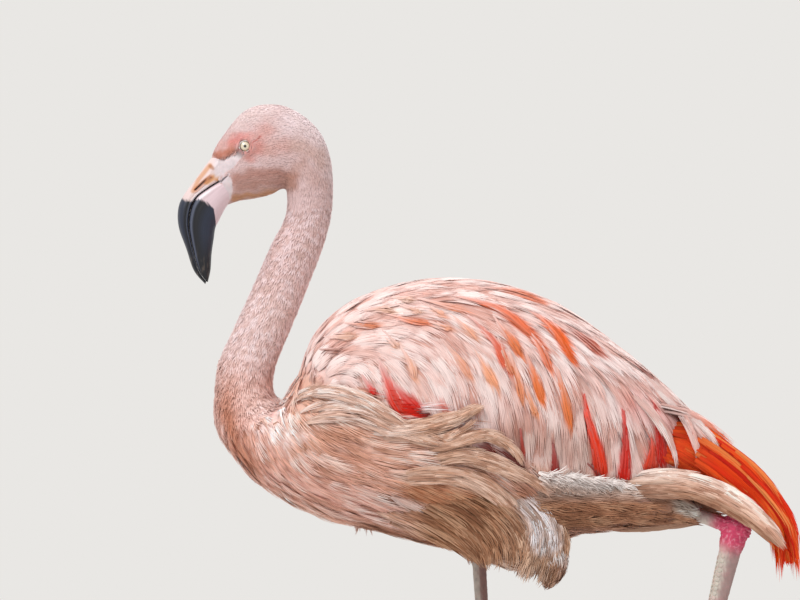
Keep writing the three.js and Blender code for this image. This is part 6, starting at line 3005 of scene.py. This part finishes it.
    def ribbons(self, side: int) -> Strands:
        """Long orange-red feathers of the wing's end that droop over the tail in ribbons.

        Args:
            side: -1 on the bird's left.

        Returns:
            Their strands.
        """
        rng = self.random(95 + side)
        upper = np.array([[232, -52, 585], [258, -50, 568], [288, -44, 544], [311, -36, 515], [321, -30, 485],
                          [327, -26, 432]], float)
        lower = np.array([[228, -62, 549], [245, -60, 538], [262, -54, 524], [286, -46, 506], [301, -38, 478],
                          [307, -32, 433]], float)
        count = 150
        share = rng.uniform(0, 1, count)
        curves = upper + (lower - upper) * share[:, None, None]
        front = share < 0.55
        group = np.where(front, share / 0.55, (share - 0.55) / 0.45)
        curves[:, 4, 0] = np.where(front, 325 - 8 * group, 312 - 6 * group)
        curves[:, 5, 0] = np.where(front, 328.5 - 3 * group, 311 - 2.5 * group)
        start = rng.uniform(0, 2.6, count) ** 1.1
        middle = 1 - np.abs(2 * group - 1)
        last = 4.5 + 0.5 * middle**0.5 * rng.uniform(0.8, 1.0, count)
        end = np.minimum(start + rng.uniform(2.0, 3.4, count), last)
        cut = stretches(curves, start, end, 6)
        cut[:, :, 1] -= rng.uniform(-3, 3, (count, 1)) + 2.5 * np.sin(math.pi * share)[:, None]
        sway = rng.normal(0, 1.0, (count, 1)) * np.linspace(0, 1, 6) ** 2
        cut[:, :, 0] += sway
        cut[:, :, 1] *= -side
        growth = Growth(strands=5, rings=6, width=4.8, strand=1.2, low=0, crown=0.9, ragged=0.2, stray=0,
                        splay=0.2, frayed=0.15)
        out = facing(0.3 + 0.3 * (1 - share), side, 0.5 - 0.5 * share)
        return hang(cut, out).grow(growth, rng, self.plume_colour)

    def end_coverts(self, side: int) -> Strands:
        """Narrow pale feathers that bend from the wing's end over the orange-red ones.

        Args:
            side: -1 on the bird's left.

        Returns:
            Their strands.
        """
        rng = self.random(98 + side)
        groups = (
            (((168, -58, 636), (192, -57, 613), (214, -55, 591), (230, -53, 574), (244, -50, 562)), 30, 8.0),
            (((176, -66, 626), (196, -66, 604), (208, -66, 586), (217, -67, 563), (219, -66, 537)), 22, 2.6),
            (((190, -60, 612), (214, -60, 589), (231, -61, 572), (239, -62, 554), (227, -63, 535)), 16, 1.6),
            (((158, -76, 612), (176, -76, 594), (190, -75, 573), (197, -73, 553), (198, -72, 535)), 14, 2.6),
        )
        cuts = []
        for line, number, wide in groups:
            line = np.array(line) + np.array([14, 0, 0])
            for _ in range(number):
                start = rng.uniform(0, 1.8)
                rows = read_rows(line, np.linspace(start, min(start + rng.uniform(1.6, 2.6), 4.0), 5))
                shift = rng.uniform(-1, 0.1 if wide > 5 else 1) * wide
                rows[:, 0] += shift * 0.6
                rows[:, 2] += shift * 0.8
                raised = 2.5 if wide < 3 else 0.0
                rows[:, 1] = rng.uniform(1.5, 4.0) + np.array([-6.0, -1.0, raised, raised, raised - 1.0])
                cuts.append(rows)
        cut = np.array(cuts)
        cut[:, :, 1] = side * (cut[:, :, 1] + self.wing_end_reach(cut[..., 0], cut[..., 2]))
        out = np.tile([0.3, side * 1.0, 0.35], (len(cut), 1))
        for more, more_out in (self.apron(side, rng, -2.3, 0.5, 1.0), self.rump(side, rng)):
            cut, out = np.concatenate([cut, more - PLANE.shift]), np.concatenate([out, more_out])
        growth = Growth(strands=4, rings=6, width=3.6, strand=1.1, low=0, crown=0.5, ragged=0.25, stray=0,
                        splay=0.25, frayed=0.15, ramp=("e0a294", "f0c8c0", "fae4e2", "ffffff"),
                        ramp_strength=0.6, clump=9, loose=0.9)
        paint: Paint = lambda line, t, inner: lay_over(
            filled(line.shape, "f6d2ca"), "f4784a",
            0.8 * (inner.uniform(0, 1, len(line))[:, None, None] > 0.7) * smooth(205, 232, line[..., 0]),
        )
        return hang(cut, out).grow(growth, rng, paint)

    def wing_end_reach(self, x: Array, z: Array) -> Array:
        """How far from the middle plane the body or the wing's end reaches at places seen from the side.

        Args:
            x: Places along the bird, in its own plane.
            z: Heights, in its own plane.

        Returns:
            Distances from the middle plane.
        """
        flat_x, flat_z = x.ravel(), z.ravel()
        t, a = on_side(flat_x + PLANE.shift[0], flat_z + PLANE.shift[2], 1)
        skin = BODY_OUTLINE.outline(t, a, 0 * t) - PLANE.shift
        off = np.hypot(skin[:, 0] - flat_x, skin[:, 2] - flat_z)
        away, place = away_from_line(flat_x, flat_z, [(row[0], row[2]) for row in PLUMES])
        row = read_rows(PLUMES, place * (len(PLUMES) - 1))
        swell = np.sqrt(np.clip(1 - (away / row[:, 3]) ** 2, 0, 1))
        bed = (np.abs(row[:, 1]) + row[:, 4] * swell) * smooth(12, 0, away - row[:, 3])
        return np.maximum(skin[:, 1] * smooth(8, 2, off), bed).reshape(x.shape)

    def apron(self, side: int, rng: np.random.Generator, inner: float, outer: float,
              reach: float) -> tuple[Array, Array]:
        """Feathers that pass from the back over one face of the wing's end.

        Args:
            side: -1 on the bird's left.
            rng: Seeded numbers.
            inner: Angle round the wing's end where they start; above 0 is its outer face.
            outer: Angle where they stop.
            reach: How far back they root and how high they lie, as a share.

        Returns:
            Five places of each tuft and the way it faces.
        """
        bed = Tube(mirrored(PLUMES, side))
        count = 90
        angle = side * rng.uniform(inner, outer, count)
        first, last = np.full(count, 0.08), rng.uniform(0.4, 1.1, count)
        lift = rng.uniform(0.8, 2.6, (count, 1)) * reach
        out = bed.lean(first + 0.2, angle)[2]
        low, middle, high = (bed.outline(at, angle, 0 * at) + out * lift
                             for at in (first, (first + last) / 2, last))
        behind = np.stack([-rng.uniform(26, 46, count), 0 * angle, rng.uniform(10, 24, count)], -1) * reach
        t, a = mesh_of(np.linspace(20, 26, 121), side * np.linspace(0, 2.4, 60))
        grid = BODY_OUTLINE.outline(t, a, 0 * t).reshape(-1, 3)
        best = np.argmin(((low + behind)[:, None] - grid) ** 2 @ np.ones(3), axis=1)
        skin_out = BODY_OUTLINE.lean(t.ravel()[best], a.ravel()[best])[2]
        root = grid[best] - skin_out * 3
        rise = (grid[best] + low) / 2 + skin_out * 2.5 * reach
        return np.stack([root, rise, low, middle, high], 1), unit(out + skin_out)

    def rump(self, side: int, rng: np.random.Generator) -> tuple[Array, Array]:
        """Coverts that pass from the rump over the root of the tail.

        Args:
            side: -1 on the bird's left.
            rng: Seeded numbers.

        Returns:
            Five places of each tuft and the way it faces.
        """
        count = 90
        angle = side * rng.uniform(0.0, 2.2, count)
        start, end = rng.uniform(23.9, 25.6, count), rng.uniform(0.9, 2.2, count)
        out = BODY_OUTLINE.lean(start, angle)[2]
        lift = rng.uniform(0.5, 2.5, (count, 1))
        root = BODY_OUTLINE.outline(start, angle, 0 * start) - out * 2
        edge = BODY_OUTLINE.outline(0 * start + 25.97, angle, 0 * start) + out * lift
        tail = Tube(TAIL)
        tip = tail.outline(end, angle, 0 * end) + tail.lean(end, angle)[2] * lift
        bend = edge * 0.55 + tip * 0.45 + np.array([4.0, 0, 2.0])
        places = np.stack([root, (root + edge) / 2 + out * 1.5, edge, bend, tip], 1)
        return places, unit(out + np.array([0.5, 0, 0.3]))

    def curls(self, side: int) -> Strands:
        """Locks of the flank that sweep over the wing's front edge and curl up.

        Args:
            side: -1 on the bird's left.

        Returns:
            Their strands.
        """
        rng = self.random(100 + side)
        crest = [(-160, 603, 0.5, 3), (-142, 612, 2, 5), (-118, 615, 3, 6), (-90, 607, 4, 6),
                 (-64, 592, 4.5, 5), (-44, 580, 4, 2)]
        lower = [(-150, 590, 0.5, 6), (-120, 597, 1.5, 9), (-92, 594, 2.5, 9), (-64, 582, 3.5, 8),
                 (-36, 574, 3.5, 6), (-10, 566, 2, 3)]
        curl = [(-84, 579, 1.5, 6), (-58, 580, 4, 8), (-30, 584, 5.5, 7), (-6, 590, 6.5, 6), (11, 598, 7, 3),
                (22, 603, 6, 0.6)]
        under = [(-60, 566, 1, 5), (-30, 570, 3, 6), (-10, 574, 4, 4), (4, 582, 5, 2.5), (16, 592, 4.5, 1)]
        arch = [(-34, 563, 1, 5), (-8, 568, 4, 5.5), (11, 574, 6, 4.5), (24, 575, 6.5, 4),
                (40, 569, 6.5, 3.6), (51, 559, 5.5, 3), (57, 546, 3.5, 0.8)]
        second = [(-30, 548, 1, 6), (0, 556, 3, 7), (26, 551, 4.5, 7), (48, 542, 5, 5), (68, 532, 4, 3),
                  (84, 516, 2.5, 1)]
        third = [(-60, 536, 0.5, 6), (-30, 540, 1.5, 8), (0, 538, 3, 8), (26, 526, 4, 8), (46, 508, 4, 6),
                 (54, 490, 2.5, 3)]
        paths = []
        for rows, count in ((crest, 70), (lower, 60), (curl, 70), (under, 20), (arch, 70), (second, 70),
                            (third, 60)):
            paths += self.sweep(np.array(rows, float), count, rng)
        growth = Growth(strands=5, rings=4, width=3.2, strand=0.8, low=0, crown=0.4, ragged=0.3, stray=0,
                        splay=0.7, ramp=("ac7458", "d8aa90", "ecccbc", "fae0d4"), ramp_strength=0.65,
                        clump=6, loose=0.6, frayed=0.3, rough=0.15, mottle=1.0)
        paint: Paint = lambda line, t, _: lay_over(
            filled(line.shape, "ecc0a8"), "f6d4c6", smooth(-20, -100, line[..., 0]),
        )
        return draw_on_body(paths, side).grow(growth, rng, paint)

    def wisps(self) -> Strands:
        """A few loose tufts that stand off the front of the neck and hang from the belly.

        Returns:
            Their strands.
        """
        rng = self.random(120)
        starts = ((-211, 632, -5, -9), (-214, 606, -5, -8), (-212, 640, -4, -7), (-208, 574, -5, -6),
                  (-86, 489, -1, -13), (-83, 489, -3, -14), (-78, 489, 2, -13), (-75, 488, 4, -12))
        cuts = []
        for x, z, dx, dz in starts:
            for _ in range(3):
                y = rng.uniform(-12, 4)
                end = np.array([dx + rng.normal(0, 1), rng.normal(0, 1.5), dz + rng.normal(0, 1)])
                cuts.append([np.array([x + 4, y, z + 3]) + end * share for share in (0, 0.3, 0.65, 1.0)])
        out = np.tile([0.2, -1.0, 0.1], (len(cuts), 1))
        growth = Growth(strands=3, rings=3, width=1.8, strand=0.7, low=0, ragged=0.3, stray=0, splay=1.2,
                        frayed=0.3)
        paint: Paint = lambda line, t, _: filled(line.shape, "e6bcac")
        return hang(np.array(cuts), out).grow(growth, rng, paint)

    def sweep(self, spine: Array, count: int, rng: np.random.Generator) -> list:
        """Spread tufts along a spine, each over a part of its length.

        Args:
            spine: Rows of x, z, height over the body and half width of the lock.
            count: How many tufts.
            rng: Seeded numbers.

        Returns:
            The tufts' paths for draw_on_body.
        """
        last = len(spine) - 1
        along = unit(np.gradient(spine[:, :2], axis=0))
        paths = []
        for _ in range(count):
            start = rng.uniform(0, last * 0.75)
            end = min(start + rng.uniform(0.25, 0.45) * last, last)
            at = np.linspace(start, end, 6)
            rows = read_rows(spine, at)
            heading = read_rows(along, at)
            across = rng.uniform(-1, 1)
            shift = across * rows[:, 3] + rng.normal(0, 0.4)
            x, z = rows[:, 0] - heading[:, 1] * shift, rows[:, 1] + heading[:, 0] * shift
            high = rows[:, 2] * (1 - 0.6 * across**2) + rng.uniform(-0.8, 0.6)
            high[0] = min(high[0] - 5.0, -4.0)
            high[1] -= 1.5
            paths.append(tuple(zip(x, z, high)))
        return paths


def build_skin() -> None:
    """Build the bird's skin, which stands in for all nodes of flesh."""
    bird = BirdSkin()
    skin = bird.build()
    bird.paint(skin)
    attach(skin, "root")
    flesh = [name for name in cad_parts
             if not name.startswith(("eye", "claw", "upper", "lower"))]
    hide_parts(*flesh)
    log.info("skin: %d faces", len(skin.data.polygons))


def build_bill(horn: bpy.types.Material) -> None:
    """Build both halves of the bill.

    Args:
        horn: Their material.
    """
    for jaw in Jaw:
        piece = Bill().build(jaw)
        piece.data.materials.append(horn)
        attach(piece, "root")
        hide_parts(jaw.value)
        log.info("%s: %d faces", piece.name, len(piece.data.polygons))


def build_eyes() -> None:
    """Build both eyes with their lids."""
    wet = WetEye().make()
    lid_skin = Skin("Lid_skin", pebble_mm=0.5).make()
    for side, name in SIDES.items():
        eye = Eye(side)
        ball, lids = eye.ball(), eye.lids()
        ball.data.materials.append(wet)
        lids.data.materials.append(lid_skin)
        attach(ball, "root")
        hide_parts(f"eye_{name}")
        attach(lids, "root")
        log.info("eye_%s: %d faces", name, len(ball.data.polygons) + len(lids.data.polygons))


def build_plates(horn: bpy.types.Material) -> None:
    """Build the scutes of both legs and the comb plates of the bill.

    Args:
        horn: The comb's material.
    """
    scale = Skin("Leg_scutes", pebble_mm=0.5, bump=0.2).make()
    for leg in LEGS:
        scutes = Scutes(leg).build(scale)
        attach(scutes, "root")
    comb = Lamellae().build(horn)
    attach(comb, "root")


def build_claws() -> None:
    """Build the claws of both feet."""
    claw_horn = Claw().make()
    for leg in LEGS:
        for toe, claw in leg.claws():
            claw.data.materials.append(claw_horn)
            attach(claw, "root")
            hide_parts(f"claw_{leg.name}_{toe}")
            log.info("%s: %d faces", claw.name, len(claw.data.polygons))


def build_coat() -> None:
    """Grow the coat, stretch by stretch."""
    coat = Coat()
    down = Feather("Velvet_contour_feathers", barbs=3.0, contrast=0.12, uneven=0.10)
    silk = Feather("Silky_contour_feathers", barbs=4.0, contrast=0.25, uneven=0.2, sheen=0.1)
    covert = Feather("Covert_feathers", barbs=5.0, contrast=0.2, uneven=0.10, sheen=0.15)
    vivid = Feather("Orange_red_feathers", barbs=5.0, contrast=0.2, uneven=0.10, sheen=0.0)
    pieces = [
        ("coat_head", coat.head(), down, 0.35, "plumage_head"),
        ("coat_neck_upper", coat.neck(7.4, 11.6, 1), down, 0.4, "plumage_neck"),
        ("coat_neck_lower", coat.neck(11.4, 14.6, 2), down, 0.4, "plumage_neck"),
        ("tail_feathers", coat.undertail(), covert, 0.5, "plumage_pale"),
        ("loose_wisps", coat.wisps(), silk, 0.5, "plumage_body"),
    ]
    for side, name in SIDES.items():
        pieces += [
            (f"coat_flank_{name}", coat.front(side), silk, 0.5, "plumage_body"),
            (f"fore_wing_coat_{name}", coat.wing(side, True), covert, 0.4, "plumage_wing"),
            (f"rear_wing_coat_{name}", coat.wing(side, False), covert, 0.4, "plumage_wing"),
            (f"coloured_coverts_{name}", coat.streaks(side), vivid, 0.3, "plumage_orange"),
            (f"flank_lock_{name}", coat.lock(side), silk, 0.5, "plumage_body"),
            (f"thigh_down_{name}", coat.thigh(side), silk, 0.5, "plumage_pale"),
            (f"wing_rim_{name}", coat.rim(side), silk, 0.4, "plumage_pale"),
            (f"side_tail_{name}", coat.band(side), covert, 0.5, "plumage_pale"),
            (f"hanging_lock_{name}", coat.hanging_lock(side), silk, 0.5, "plumage_body"),
            (f"plume_bed_{name}", coat.plumes(side), vivid, 0.5, "plumage_orange"),
            (f"plume_ribbons_{name}", coat.ribbons(side), vivid, 0.5, "plumage_orange"),
            (f"end_coverts_{name}", coat.end_coverts(side), covert, 0.4, "plumage_wing"),
            (f"curled_locks_{name}", coat.curls(side), silk, 0.5, "plumage_body"),
        ]
    made = {finish.name: finish.make() for finish in (down, covert, silk, vivid)}
    for name, strands, finish, soft, slot in pieces:
        piece = strand_piece(name, strands, soft)
        piece.data.materials.append(made[finish.name])
        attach(piece, "root")


def main() -> None:
    """Build the bird in order and set the studio round it."""
    PLANE.settle()
    studio = Studio()
    studio.camera()
    studio.floor()
    studio.light()
    horn = Horn("Worn_bill_horn").make()
    build_skin()
    build_bill(horn)
    build_eyes()
    build_plates(horn)
    build_claws()
    build_coat()


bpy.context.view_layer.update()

if __name__ == "__main__":
    logging.basicConfig(level=logging.INFO, format="%(name)s: %(message)s")
    main()
